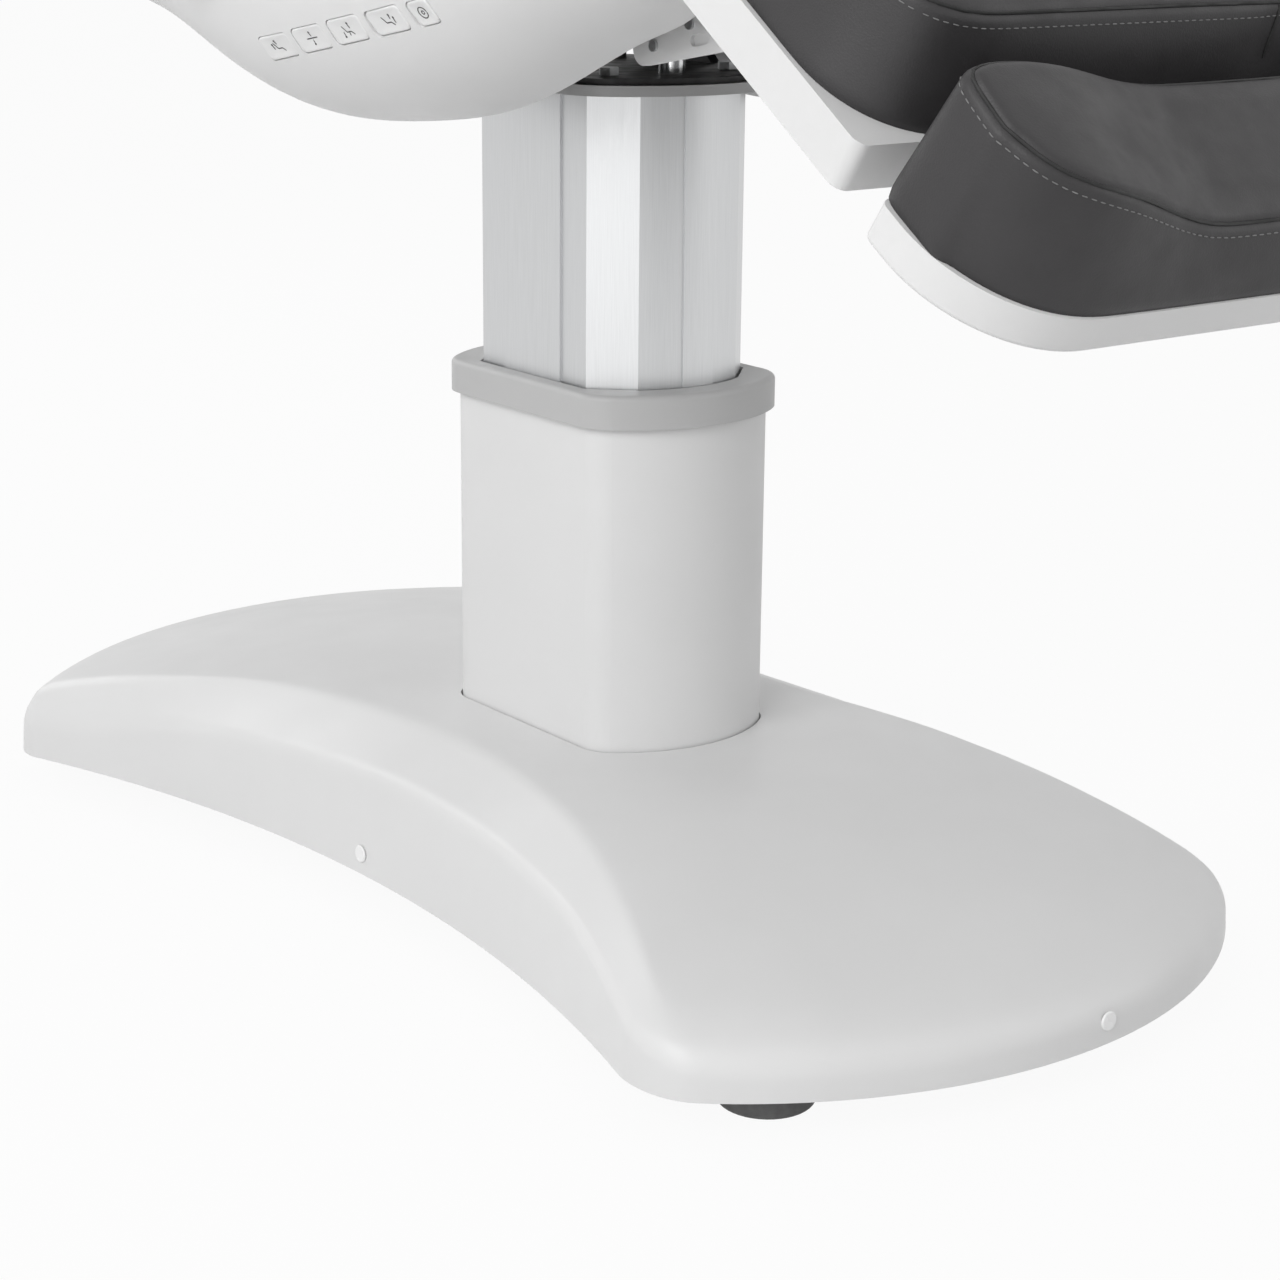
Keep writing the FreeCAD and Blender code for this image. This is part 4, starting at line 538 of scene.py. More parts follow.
def base_guess(grid):
    """Grid points laid so that their lines run along the creases."""
    a, b, c = grid.T
    y = FRONT_CORNER_Y + (b + 1) / 2 * (REAR_CORNER_Y - FRONT_CORNER_Y)
    inset = draft(eased_table(CREASE, y))
    edge = base_side(y) - inset
    inner = base_side(y) - eased_table(BAND, y)
    across = np.abs(a)
    outer = np.maximum((1 - across) / (1 - BAND_SHARE), 0.0) ** BAND_POWER
    x = np.where(across < BAND_SHARE, across / BAND_SHARE * inner, edge - outer * (edge - inner))
    x = x * np.sign(a)
    corner_y = np.where(b < 0, FRONT_CORNER_Y, REAR_CORNER_Y)
    y = y + (base_end(x, b) - corner_y) * np.abs(b) ** END_POWER
    y = y - np.where(np.abs(b) == 1, np.sign(b) * inset, 0.0)
    height, _, crease = base_band(x, y)
    wall_z = BASE_LOW + (1 - ((1 - c) / 2) ** WALL_POWER) * (crease - BASE_LOW)
    z = np.where(c < 1, wall_z, np.minimum(height, base_dome(x, y)))
    return np.stack((x, y, z), 1)


def relax_corners(points, quads):
    """Evens out the base's mesh at the plan's corners, with its points kept on the form."""
    quads = np.array(quads)
    pairs = np.concatenate([quads[:, [i, (i + 1) % 4]] for i in range(4)])
    pairs = np.unique(np.sort(pairs, 1), axis=0)
    count = np.bincount(pairs.ravel(), minlength=len(points))[:, None]
    corner = np.array([(sign * base_side(y), y)
                       for sign in (-1, 1) for y in (FRONT_CORNER_Y, REAR_CORNER_Y)])
    away = np.linalg.norm(points[:, None, :2] - corner[None], axis=2).min(1)
    near = np.where(away < RELAX_REACH)[0]
    share = RELAX_SHARE * eased((RELAX_REACH - away[near]) / RELAX_EASE)[:, None]
    rim = near[points[near, 2] < BASE_LOW + RIM_REACH]
    for _ in range(RELAX_ROUNDS):
        total = np.zeros_like(points)
        np.add.at(total, pairs[:, 0], points[pairs[:, 1]])
        np.add.at(total, pairs[:, 1], points[pairs[:, 0]])
        moved = points[near] + share * (total[near] / count[near] - points[near])
        points[near] = settle(moved, base_form, steps=2)
        points[rim, 2] = BASE_LOW
    return points


def column_outline(offset, count=16):
    """Flat sides, bowed ends and rounded corners, as (x, y) points."""
    half, reach = COLUMN_HALF + offset, COLUMN_REACH + offset
    end_r, corner_r = COLUMN_END_R + offset, COLUMN_CORNER_R + offset
    centre_y = reach - end_r
    corner_x = half - corner_r
    corner_y = centre_y + math.sqrt((end_r - corner_r) ** 2 - corner_x ** 2)
    turn = math.atan2(corner_y - centre_y, corner_x)
    quarter = []
    for i in range(count + 1):
        a = turn * i / count
        quarter.append((corner_x + corner_r * math.cos(a), corner_y + corner_r * math.sin(a)))
    for i in range(1, count + 1):
        a = turn + (math.pi / 2 - turn) * i / count
        quarter.append((end_r * math.cos(a), centre_y + end_r * math.sin(a)))
    right_half = [(x, -y) for x, y in quarter][::-1] + quarter
    left_half = [(-x, y) for x, y in right_half[::-1]][1:-1]
    return right_half + left_half


def prism(name, outline, z_low, z_high):
    n = len(outline)
    verts = [(x * MM, y * MM, z * MM) for z in (z_low, z_high) for x, y in outline]
    faces = [[i, (i + 1) % n, n + (i + 1) % n, n + i] for i in range(n)]
    faces += [list(range(n))[::-1], list(range(n, 2 * n))]
    return mesh_object(name, verts, faces)


def cut(obj, cutter, crossing=False):
    """Cuts a hole; crossing is for a mesh whose wall crosses itself inside."""
    modifier = obj.modifiers.new("cut", "BOOLEAN")
    modifier.operation = "DIFFERENCE"
    modifier.solver = "EXACT"
    modifier.use_self = crossing
    modifier.object = cutter
    apply_modifiers(obj)
    bpy.data.objects.remove(cutter)


points, quads = open_box_grid(*BASE_GRID)
points = relax_corners(settle(base_guess(points), base_form), quads)
points[points[:, 2] < BASE_LOW + RIM_REACH, 2] = BASE_LOW
base = piece("base_moulding", points, quads, still, "base", WHITE, "white_shell", "base_cover")
thick = base.modifiers.new("wall", "SOLIDIFY")
thick.thickness = BASE_WALL * MM
thick.offset = -1.0
apply_modifiers(base)
cut(base, prism("opening", column_outline(COLUMN_GAP), OPENING_LOW, OPENING_HIGH))
inlet_low, inlet_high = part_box("mains_inlet")
x_low, x_high = inlet_low.x / MM + INLET_LAP, inlet_high.x / MM - INLET_LAP
z_low, z_high = inlet_low.z / MM + INLET_LAP, inlet_high.z / MM - INLET_LAP
inlet_outline = [(x_low, INLET_FRONT), (x_high, INLET_FRONT),
                 (x_high, INLET_REAR), (x_low, INLET_REAR)]
cut(base, prism("inlet_hole", inlet_outline, z_low, z_high), crossing=True)
smooth(base, angle=60.0)

# Upholstered pads: a wall, a rounded seam edge and a shaped top over a rounded plan

EDGE_ROWS = 4
SWELL_FRAMES, PRESSURE, PAD_FILL = 20, 4.0, 0.6
SEAM_DEPTH, SEAM_LIFT, SEAM_R, CHANNEL_R, SEAM_STEP = 2.2, 0.3, 1.0, 0.9, 6.0
STITCH_LIFT, STITCH_R, STITCH_PITCH, STITCH_POINTS, STITCH_DRAWN = 0.15, 0.36, 5.2, 8, 6
SEAM_SIDES, FINE_SIDES, TIP_SHARE = 6, 5, 0.35


class Plan:
    """A panel's plan at one height: half-widths at its ends, places along Y, corner radii, sag."""

    def __init__(self, front, rear, y_front, y_rear, front_r, rear_r, sag=0.0):
        self.front, self.rear, self.y_front, self.y_rear = front, rear, y_front, y_rear
        self.front_r, self.rear_r, self.sag = front_r, rear_r, sag

    def rim(self, u, v, inset=0.0):
        """The point of the outline that the border point (u, v) of a square goes to."""
        middle = (self.y_front + self.y_rear) / 2
        half_y = (self.y_rear - self.y_front) / 2 - inset
        share = (v + 1) / 2
        half_x = self.front + (self.rear - self.front) * share - inset
        corner = self.front_r if v < 0 else self.rear_r
        corner = max(corner - inset, 1.0)
        x, y = abs(u) * half_x, abs(v) * half_y
        in_x, in_y = x - (half_x - corner), y - (half_y - corner)
        if in_x > 0 and in_y > 0:
            turn = math.atan2(in_y, in_x)
            x = half_x - corner + corner * math.cos(turn)
            y = half_y - corner + corner * math.sin(turn)
        x -= self.sag * max(1 - (y / half_y) ** 2, 0.0) * abs(u) ** 4
        return math.copysign(x, u), middle + math.copysign(y, v)


def even_border(nx, ny):
    """The border of a square in order, as grid places and as (u, v)."""
    places = [(i, 0) for i in range(nx)] + [(nx, j) for j in range(ny)]
    places += [(i, ny) for i in range(nx, 0, -1)] + [(0, j) for j in range(ny, 0, -1)]
    return places, [(2 * i / nx - 1, 2 * j / ny - 1) for i, j in places]


class Pad:
    """Points and faces of a pad, with the rows of its wall and the grid of its top kept."""

    def __init__(self, low, high, z_low, top, edge_r, nx, ny, rows=7, tuck=(0.0, 0.0)):
        places, border = even_border(nx, ny)
        count = len(border)
        tuck_in, tuck_drop = tuck
        points, faces, loops = [], [], []
        if tuck_drop:
            rims = [low.rim(u, v, tuck_in) for u, v in border]
            loops.append([(x, y, z_low - tuck_drop) for x, y in rims])
        wall = len(loops)
        low_rim = [low.rim(u, v) for u, v in border]
        high_rim = [high.rim(u, v) for u, v in border]
        edge_z = [top(x, y) for x, y in [high.rim(u, v, edge_r) for u, v in border]]
        for row in range(rows + 1):
            t = row / rows
            loop = []
            for i in range(count):
                x = low_rim[i][0] + (high_rim[i][0] - low_rim[i][0]) * t
                y = low_rim[i][1] + (high_rim[i][1] - low_rim[i][1]) * t
                loop.append((x, y, z_low + (edge_z[i] - edge_r - z_low) * t))
            loops.append(loop)
        for row in range(1, EDGE_ROWS + 1):
            a = math.pi / 2 * row / EDGE_ROWS
            rims = [high.rim(u, v, edge_r * (1 - math.cos(a))) for u, v in border]
            drop = edge_r * (1 - math.sin(a))
            loops.append([(x, y, edge_z[i] - drop) for i, (x, y) in enumerate(rims)])
        self.rows = []
        for loop in loops:
            self.rows.append(list(range(len(points), len(points) + count)))
            points += loop
        self.edge = wall + rows
        self.seam = self.rows[self.edge + EDGE_ROWS // 2]
        self.stitch = self.rows[self.edge]
        for lower, upper in zip(self.rows[:-1], self.rows[1:]):
            for i in range(count):
                j = (i + 1) % count
                faces.append([lower[i], lower[j], upper[j], upper[i]])

        def face_grid(rim_row, plan, inset, height, flip):
            index = {place: rim_row[i] for i, place in enumerate(places)}
            middle = (plan.y_front + plan.y_rear) / 2
            for i in range(1, nx):
                for j in range(1, ny):
                    u, v = 2 * i / nx - 1, 2 * j / ny - 1
                    ring = max(abs(u), abs(v), 1e-6)
                    x, y = plan.rim(u / ring, v / ring, inset)
                    x, y = x * ring, middle + (y - middle) * ring
                    index[(i, j)] = len(points)
                    points.append((x, y, height(x, y)))
            for i in range(nx):
                for j in range(ny):
                    corners = ((i, j), (i + 1, j), (i + 1, j + 1), (i, j + 1))
                    quad = [index[corner] for corner in corners]
                    faces.append(quad[::-1] if flip else quad)
            return index

        self.top = face_grid(self.rows[-1], high, edge_r, top, False)
        bottom = face_grid(self.rows[0], low, tuck_in, lambda x, y: z_low - tuck_drop, True)
        self.held = set(bottom.values()) | set(self.rows[wall])
        self.points = np.array(points, float)
        self.faces = faces
        self.ny = ny

    def line_along(self, i):
        """The top's points from front to rear in column i."""
        return [self.top[(i, j)] for j in range(self.ny + 1)]

    def line_across(self, j, first, last):
        """The top's points in row j from one column to another."""
        return [self.top[(i, j)] for i in range(first, last + 1)]


def swell(obj, held, cap):
    """Inflates a closed mesh as cloth with some points held; no point moves further than cap."""
    start = np.array([v.co for v in obj.data.vertices])
    group = obj.vertex_groups.new(name="held")
    group.add([int(i) for i in held], 1.0, "REPLACE")
    cloth = obj.modifiers.new("cloth", "CLOTH")
    cloth.settings.quality = 5
    cloth.settings.mass = 0.3
    cloth.settings.tension_stiffness = 15
    cloth.settings.compression_stiffness = 15
    cloth.settings.bending_stiffness = 0.5
    cloth.settings.use_pressure = True
    cloth.settings.uniform_pressure_force = PRESSURE
    cloth.settings.vertex_group_mass = "held"
    cloth.settings.effector_weights.gravity = 0.0
    cloth.point_cache.frame_start, cloth.point_cache.frame_end = 1, SWELL_FRAMES
    for step in range(1, SWELL_FRAMES + 1):
        scene.frame_set(step)
    depsgraph = bpy.context.evaluated_depsgraph_get()
    done = obj.evaluated_get(depsgraph).to_mesh()
    moved = np.array([v.co for v in done.vertices]) - start
    obj.evaluated_get(depsgraph).to_mesh_clear()
    obj.modifiers.clear()
    obj.vertex_groups.clear()
    scene.frame_set(1)
    reach = np.linalg.norm(moved, axis=1)
    moved *= np.minimum(1.0, cap * MM / np.maximum(reach, 1e-9))[:, None]
    for vertex, place in zip(obj.data.vertices, start + moved):
        vertex.co = place


def tube_mesh(paths, radius, sides, closed=False):
    """Round tubes along paths, each an array of points, as one mesh; open ends taper."""
    verts, faces = [], []
    guide = np.array((0.31, 0.52, 0.80))
    for path in paths:
        path = np.array(path, float)
        n = len(path)
        ahead = np.roll(path, -1, 0) - np.roll(path, 1, 0)
        if not closed:
            ahead[0], ahead[-1] = path[1] - path[0], path[-1] - path[-2]
        ahead /= np.maximum(np.linalg.norm(ahead, axis=1), 1e-12)[:, None]
        first = len(verts)
        for i in range(n):
            side = np.cross(ahead[i], guide)
            side /= max(np.linalg.norm(side), 1e-9)
            other = np.cross(ahead[i], side)
            thin = 1.0 if closed or 0 < i < n - 1 else TIP_SHARE
            for k in range(sides):
                a = 2 * math.pi * k / sides
                verts.append(path[i] + radius * thin * (side * math.cos(a) + other * math.sin(a)))
        for i in range(n if closed else n - 1):
            here, after = first + i * sides, first + (i + 1) % n * sides
            for k in range(sides):
                m = (k + 1) % sides
                faces.append([here + k, here + m, after + m, after + k])
        if not closed:
            faces.append([first + k for k in range(sides)][::-1])
            faces.append([first + (n - 1) * sides + k for k in range(sides)])
    return verts, faces


def along(path, step, closed):
    """Points at an even spacing on a path."""
    path = np.array(path, float)
    if closed:
        path = np.vstack([path, path[:1]])
    length = np.concatenate([[0.0], np.cumsum(np.linalg.norm(np.diff(path, axis=0), axis=1))])
    count = max(int(length[-1] / step), 2)
    places = np.linspace(0.0, length[-1], count + 1)
    return np.stack([np.interp(places, length, path[:, k]) for k in range(3)], 1)


# A tube mesh for the light stitches, and for the dark tubes of painted shade along seams and
# channels.
def thread_and_shade_tube(name, tube, material, body):
    obj = mesh_object(name, *tube)
    smooth(obj, angle=60.0)
    obj.data.materials.append(material)
    finish_piece(obj, body, "upholstery")


def stitch_runs(path):
    """Short runs along a closed path, for stitches."""
    fine = along(path, STITCH_PITCH * MM / STITCH_POINTS, True)
    starts = range(0, len(fine) - STITCH_POINTS, STITCH_POINTS)
    return [fine[start:start + STITCH_DRAWN] for start in starts]


def make_pad(name, pad, place, body, node, cap, grooves=()):
    """A pad inflated between its seams, with the seams drawn in, dark tubes of painted shade along
    the seams and channels, and light stitches.
    """
    obj = mesh_object(name, place(pad.points) * MM, pad.faces)
    sewn = set(pad.seam)
    for path in grooves:
        sewn |= set(path)
    swell(obj, pad.held | sewn, cap)
    obj.data.update()
    normals = np.array([v.normal for v in obj.data.vertices])
    for i in sewn:
        obj.data.vertices[i].co -= Vector(normals[i]) * SEAM_DEPTH * MM
    divide = obj.modifiers.new("divide", "SUBSURF")
    divide.levels = divide.render_levels = 1
    apply_modifiers(obj)
    smooth(obj, angle=70.0)
    obj.data.materials.append(UPHOLSTERY)
    finish_piece(obj, body, "upholstery", node)
    spots = np.array([v.co for v in obj.data.vertices])
    outward = np.array([v.normal for v in obj.data.vertices])

    def lifted(path, lift):
        return spots[path] + outward[path] * lift * MM

    # The dark tube along the seam is painted shade in its groove.
    seam = along(lifted(pad.seam, SEAM_LIFT), SEAM_STEP * MM, True)[:-1]
    thread_and_shade_tube(name + "_seam", tube_mesh([seam], SEAM_R * MM, SEAM_SIDES, True), PAINTED_SEAM_SHADE, body)
    runs = stitch_runs(lifted(pad.stitch, STITCH_LIFT))
    thread_and_shade_tube(name + "_stitches", tube_mesh(runs, STITCH_R * MM, FINE_SIDES), THREAD, body)
    # The dark tubes along the channels are painted shade in their grooves.
    for number, path in enumerate(grooves):
        line = along(lifted(path, SEAM_LIFT), SEAM_STEP * MM, False)
        channel_name = "%s_channel_%d" % (name, number + 1)
        thread_and_shade_tube(channel_name, tube_mesh([line], CHANNEL_R * MM, SEAM_SIDES), PAINTED_SEAM_SHADE, body)


def arc_height(points):
    """Height of the circle through three (x, z) points, as a function of x."""
    (x1, z1), (x2, z2), (x3, z3) = points
    s1, s2, s3 = x1 ** 2 + z1 ** 2, x2 ** 2 + z2 ** 2, x3 ** 2 + z3 ** 2
    d = 2 * (x1 * (z2 - z3) + x2 * (z3 - z1) + x3 * (z1 - z2))
    ux = (s1 * (z2 - z3) + s2 * (z3 - z1) + s3 * (z1 - z2)) / d
    uz = (s1 * (x3 - x2) + s2 * (x1 - x3) + s3 * (x2 - x1)) / d
    radius = math.hypot(x1 - ux, z1 - uz)
    sign = 1.0 if z2 > uz else -1.0
    return lambda x: uz + sign * math.sqrt(max(radius ** 2 - (x - ux) ** 2, 0.0))


PAD_TOP, PAD_LIFT, PAD_EDGE_R = 755.0, 0.3, 9.0
KNEE_Y, BACK_Y = KNEE[0], BACK[0]
TUCK = (6.0, 8.0)

# Half-widths of the lower outline and of the seam, corner radii and the sag of the sides
LOW_HALF, SEAM_HALF, LEG_SEAM_HALF = 269.0, 253.0, 254.0
HINGE_CORNER, SEAM_CORNER, LOW_SAG, SEAM_SAG = 12.0, 38.0, 1.0, 3.0

# Room at a hinge, from the shells' bottom to where it is narrowest
HINGE_ROOM, HINGE_NARROW, HINGE_RISE = 48.0, 16.0, 40.0
STEP = HINGE_ROOM - (HINGE_ROOM - HINGE_NARROW) * min((RIM_Z - SHELL_BOTTOM) / HINGE_RISE, 1.0)

# Grid columns of the long channels, in pads 36 columns wide
WIDE, CHANNELS = 36, (5, 31)

LEG_FRONT, LEG_SEAM_FRONT, LEG_CORNER, LEG_SEAM_CORNER = -631.0, -617.0, 60.0, 45.0
LEG_EVEN_FROM, LEG_EVEN_OVER, LEG_EVEN_RISE = -540.0, 70.0, 2.0
leg_half = arc_height([(HALF, PAD_TOP + 5.0), (140.0, PAD_TOP - 10.0), (0.0, PAD_TOP - 5.0)])


def leg_top(x, y):
    """Two shallow leg hollows that run out at the lower end."""
    end = eased((LEG_EVEN_FROM - y) / LEG_EVEN_OVER)
    return leg_half(abs(x)) * (1 - end) + (PAD_TOP + LEG_EVEN_RISE) * end


leg_pad = Pad(Plan(LOW_HALF, LOW_HALF, LEG_FRONT, KNEE_Y - STEP, LEG_CORNER, HINGE_CORNER, LOW_SAG),
              Plan(LEG_SEAM_HALF, LEG_SEAM_HALF, LEG_SEAM_FRONT, KNEE_Y - HINGE_NARROW,
                   LEG_SEAM_CORNER, SEAM_CORNER, SEAM_SAG),
              RIM_Z + PAD_LIFT, leg_top, PAD_EDGE_R, nx=WIDE, ny=22, tuck=TUCK)
middle = WIDE // 2
middle_line = [leg_pad.rows[row][middle] for row in range(leg_pad.edge - 3, leg_pad.edge + 4)]
middle_line += leg_pad.line_along(middle)
make_pad("leg_cushion", leg_pad, on_leg, "leg", "leg_pad", cap=6.0, grooves=[middle_line])

FOOT_REAR, FOOT_DEPTH, FOOT_FALL, FOOT_RIM = -632.0, 100.0, 98.0, 18.3
FOOT_BOLSTER_IN, FOOT_BOLSTER_OVER = 112.0, 112.0
FOOT_LOW_Y, FOOT_SEAM_Y, FOOT_SEAM_HALF = (-750.0, -650.0), (-735.0, -650.0), 262.0
FOOT_CORNERS, FOOT_SEAM_CORNERS = (75.0, 16.0), (58.0, 16.0)


def foot_top(x, y):
    """A hollow that falls to the front between two side bolsters, with a low middle ridge."""
    t = min(max((y - FOOT_REAR + FOOT_DEPTH) / FOOT_FALL, 0.0), 1.0)
    side = eased((abs(x) - FOOT_BOLSTER_IN) / FOOT_BOLSTER_OVER)
    ridge = 3.0 * math.exp(-(x / 45.0) ** 2) * (1 - t)
    hollow = 55.0 + 33.0 * t - 6.0 * math.sin(math.pi * t) + ridge
    bolster = 85.0 + 14.0 * t
    return SHELL_BOTTOM + hollow + (bolster - hollow) * side


foot_pad = Pad(Plan(LOW_HALF, LOW_HALF, *FOOT_LOW_Y, *FOOT_CORNERS, LOW_SAG),
               Plan(FOOT_SEAM_HALF, FOOT_SEAM_HALF, *FOOT_SEAM_Y, *FOOT_SEAM_CORNERS, LOW_SAG),
               SHELL_BOTTOM + FOOT_RIM, foot_top, edge_r=8.0, nx=40, ny=14, tuck=TUCK)
make_pad("foot_cushion", foot_pad, on_leg, "foot", "foot_pad", cap=4.0)

BOLSTER_IN, BOLSTER_RISE = 190.0, 5.0


def bolstered(top, dip):
    """A height with a hollow between two side bolsters."""
    crown = (BOLSTER_IN + HALF) / 2
    hollow = arc_height([(-BOLSTER_IN, top), (0.0, top - dip), (BOLSTER_IN, top)])
    side = arc_height([(BOLSTER_IN, top), (crown, top + BOLSTER_RISE), (HALF, top - BOLSTER_RISE)])
    return lambda x, y: hollow(x) if abs(x) < BOLSTER_IN else side(abs(x))


seat_pad = Pad(Plan(LOW_HALF, LOW_HALF, KNEE_Y + STEP, BACK_Y - STEP, HINGE_CORNER, HINGE_CORNER,
                    LOW_SAG),
               Plan(SEAM_HALF, SEAM_HALF, KNEE_Y + HINGE_NARROW, BACK_Y - HINGE_NARROW, SEAM_CORNER,
                    SEAM_CORNER, SEAM_SAG),
               RIM_Z + PAD_LIFT, bolstered(PAD_TOP, dip=17.0), PAD_EDGE_R, nx=WIDE, ny=32,
               tuck=TUCK)
seat_lines = [seat_pad.line_along(i) for i in CHANNELS]
make_pad("seat_cushion", seat_pad, on_seat, "seat", "seat_pad", cap=7.0, grooves=seat_lines)

BACK_START, BACK_END, BACK_SEAM_END = BACK_Y + 47.0, BACK_Y + 587.0, BACK_Y + 573.0
BACK_NARROWING, BACK_RISE, BACK_ROWS, BACK_CHANNELS = 34.0, 12.0, 36, (12, 24)
back_pad = Pad(Plan(LOW_HALF, LOW_HALF - BACK_NARROWING, BACK_START, BACK_END, HINGE_CORNER,
                    SEAM_CORNER, LOW_SAG),
               Plan(SEAM_HALF, SEAM_HALF - BACK_NARROWING, BACK_START, BACK_SEAM_END, SEAM_CORNER,
                    SEAM_CORNER, SEAM_SAG),
               RIM_Z + PAD_LIFT, bolstered(PAD_TOP + BACK_RISE, dip=20.0), PAD_EDGE_R, nx=WIDE,
               ny=BACK_ROWS, tuck=TUCK)
back_lines = [back_pad.line_along(i) for i in CHANNELS]
back_lines += [back_pad.line_across(j, *CHANNELS) for j in BACK_CHANNELS]
make_pad("back_cushion", back_pad, on_back, "back", "back_pad", cap=7.0, grooves=back_lines)

HEAD_Y, HEAD_LENGTH, HEAD_HALF, HEAD_TAPER, HEAD_CORNER = BACK_Y + 618.0, 165.0, 150.0, 17.0, 45.0
HEAD_SEAM_HALF = HEAD_HALF - HEAD_TAPER
HEAD_BACK_Z, HEAD_SIDE_Z, HEAD_MIDDLE_Z, HEAD_SAG = 689.0, 763.0, 749.0, 2.0
head_top = arc_height([(-HEAD_HALF, HEAD_SIDE_Z), (0.0, HEAD_MIDDLE_Z), (HEAD_HALF, HEAD_SIDE_Z)])
head_pad = Pad(Plan(HEAD_HALF, HEAD_HALF, HEAD_Y, HEAD_Y + HEAD_LENGTH, HEAD_CORNER, HEAD_CORNER,
                    HEAD_SAG),
               Plan(HEAD_SEAM_HALF, HEAD_SEAM_HALF, HEAD_Y + HEAD_TAPER,
                    HEAD_Y + HEAD_LENGTH - HEAD_TAPER, HEAD_CORNER, HEAD_CORNER, HEAD_SAG),
               HEAD_BACK_Z, lambda x, y: head_top(x), edge_r=10.0, nx=26, ny=16)
make_pad("head_cushion", head_pad, on_back, "headrest", "headrest_pad", cap=7.0)

SIDES = (("left", 1.0), ("right", -1.0))
ARM_IN, ARM_Z, ARM_REAR, ARM_LENGTH = 295.0, 865.0, 91.0, 348.0
ARM_HALF, ARM_TAPER, ARM_CORNER, ARM_SIDE_Z, ARM_CROWN_Z = 38.0, 8.0, 24.0, 906.0, 911.0
ARM_SEAM_HALF, ARM_FRONT = ARM_HALF - ARM_TAPER, ARM_REAR - ARM_LENGTH
arm_top = arc_height([(-ARM_HALF, ARM_SIDE_Z), (0.0, ARM_CROWN_Z), (ARM_HALF, ARM_SIDE_Z)])
for side, sign in SIDES:
    arm_pad = Pad(Plan(ARM_HALF, ARM_HALF, ARM_FRONT, ARM_REAR, ARM_CORNER, ARM_CORNER),
                  Plan(ARM_SEAM_HALF, ARM_SEAM_HALF, ARM_FRONT + ARM_TAPER, ARM_REAR - ARM_TAPER,
                       ARM_CORNER, ARM_CORNER),
                  ARM_Z, lambda x, y: arm_top(x), edge_r=8.0, nx=10, ny=34, rows=5)
    arm_pad.points[:, 0] += sign * (ARM_IN + ARM_HALF)
    make_pad("arm_cushion_" + side, arm_pad, on_seat, "arm_" + side, "arm_pad_" + side, cap=4.0)

# Push buttons: dished caps with line symbols

BUTTON_DROP, BUTTON_Z, COVER_IN, COVER_ROUND = 57.0, 593.0, 155.0, 117.0
COVER_Y = (-300.0, -235.0, -155.0, -75.0, 5.0, 75.0, 130.0, 176.0)
COVER_DEPTH = (66.0, 85.0, 102.0, 112.0, 109.0, 96.0, 64.0, 24.0)
BUTTON_HALF, BUTTON_R, BUTTON_EDGE_R, BUTTON_ROOT = 8.75, 4.0, 1.2, -8.0
DISH_RIM, DISH_DEPTH = -0.2, 1.1
SYMBOL_SIZE, SYMBOL_R, SYMBOL_LIFT, SYMBOL_STEP = 0.78, 0.38, 0.02, 0.8
ARROW_HEAD, ARROW_SPREAD = 1.6, 0.7


def on_button(sign, shift):
    """From flat, with its face up, to the leaning wall of a side cover. x runs to the leg rest."""
    depth = float(np.interp(shift, COVER_Y, COVER_DEPTH))
    turn = math.asin(BUTTON_DROP / depth)
    lean = math.atan(math.tan(turn) * COVER_ROUND / depth)
    button_x = COVER_IN + COVER_ROUND * math.cos(turn)

    def place(p):
        out = p[:, 2]
        q = np.zeros_like(p)
        q[:, 0] = sign * (button_x + out * math.cos(lean) + p[:, 1] * math.sin(lean))
        q[:, 1] = shift - p[:, 0]
        q[:, 2] = BUTTON_Z - out * math.sin(lean) + p[:, 1] * math.cos(lean)
        return on_seat(q)
    return place


def arrow(a, b):
    """A shaft from a to b with a barb each side of its tip."""
    a, b = np.array(a, float), np.array(b, float)
    way = (b - a) / np.linalg.norm(b - a)
    across = np.array((-way[1], way[0]))
    base_of_head, barb = b - way * ARROW_HEAD, across * ARROW_HEAD * ARROW_SPREAD
    return [[a, b], [base_of_head + barb, b, base_of_head - barb]]


def ring_line(radius, count):
    angles = [2 * math.pi * i / count for i in range(count + 1)]
    return [(radius * math.cos(a), radius * math.sin(a)) for a in angles]


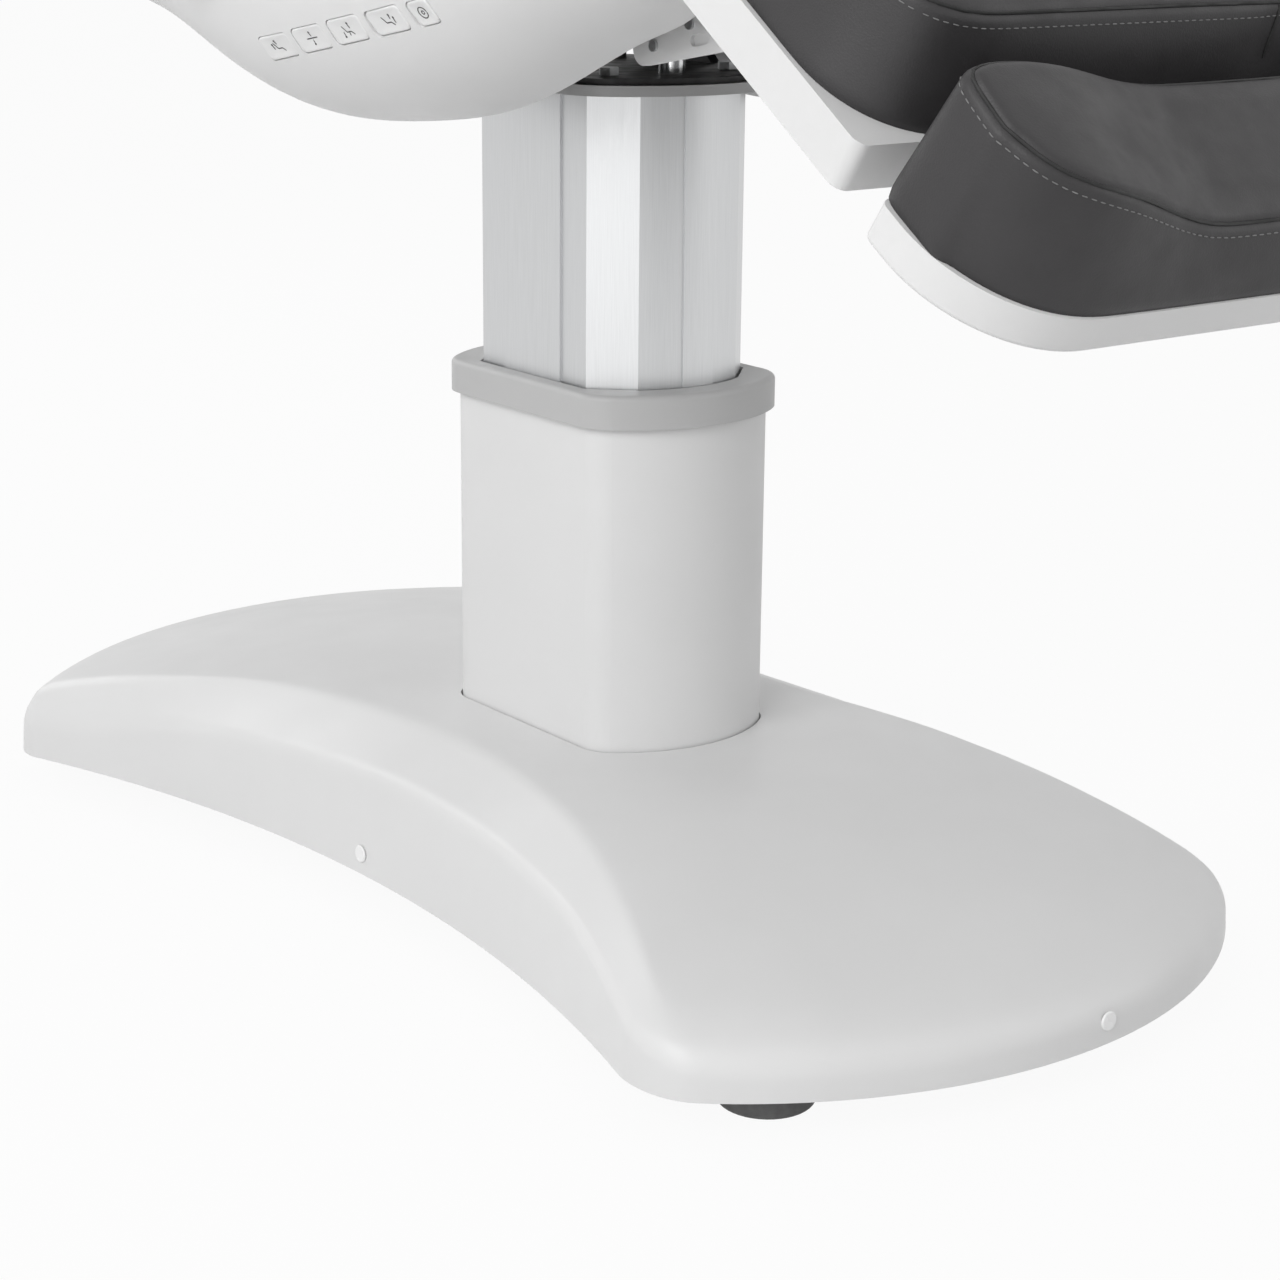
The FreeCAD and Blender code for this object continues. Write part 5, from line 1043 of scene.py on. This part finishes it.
CHAIR = [(-6.5, 4.0), (-3.0, -2.0), (3.0, -2.0), (6.5, -5.0)]
STALK = [(0.0, -2.0), (0.0, -5.5)]
LEVEL = [(-8.0, 0.0), (8.0, 0.0)]
SYMBOLS = [
    [CHAIR] + arrow((-8.0, -2.5), (-9.0, 3.5)) + arrow((-1.5, 2.0), (-2.5, 6.5)),
    [LEVEL] + arrow((0.0, 1.5), (0.0, 6.5)) + arrow((0.0, -1.5), (0.0, -6.5)),
    [CHAIR, STALK] + arrow((3.5, 0.5), (3.5, 6.5)) + arrow((-7.5, -1.0), (-7.5, -6.5)),
    [CHAIR] + arrow((8.5, -3.5), (9.0, 2.5)) + arrow((4.0, 0.5), (5.0, 5.5)),
    [ring_line(5.0, 20), ring_line(1.6, 12)],
]

# Each button's place along Y and its width
BUTTONS = [(20.5, 36.0), (-23.2, 36.0), (-66.9, 36.0), (-110.6, 36.0), (-146.8, 21.0)]


def dished(width):
    def height(x, y):
        far = max(abs(x) / (width / 2), abs(y) / BUTTON_HALF)
        return DISH_RIM - DISH_DEPTH * (1 - min(far, 1.0) ** 2)
    return height


for side, sign in SIDES:
    for number, ((shift, width), symbol) in enumerate(zip(BUTTONS, SYMBOLS)):
        body = "button_%s_%d" % (side, number + 1)
        place, height = on_button(sign, shift), dished(width)
        plan = Plan(width / 2, width / 2, -BUTTON_HALF, BUTTON_HALF, BUTTON_R, BUTTON_R)
        cap = Pad(plan, plan, BUTTON_ROOT, height, BUTTON_EDGE_R, nx=16, ny=12, rows=3)
        faces = cap.faces if sign < 0 else [face[::-1] for face in cap.faces]
        piece(body + "_cap", cap.points, faces, place, body, BUTTON_WHITE, "button_white", body)
        paths = []
        for stroke in symbol:
            path = np.array([(x, y, 0.0) for x, y in stroke]) * SYMBOL_SIZE
            path = along(path, SYMBOL_STEP, False)
            path[:, 2] = [height(x, y) + SYMBOL_LIFT for x, y, _ in path]
            paths.append(path)
        verts, quads = tube_mesh(paths, SYMBOL_R, FINE_SIDES)
        piece(body + "_symbol", np.array(verts), quads, place, body, INK, "black_plastic")
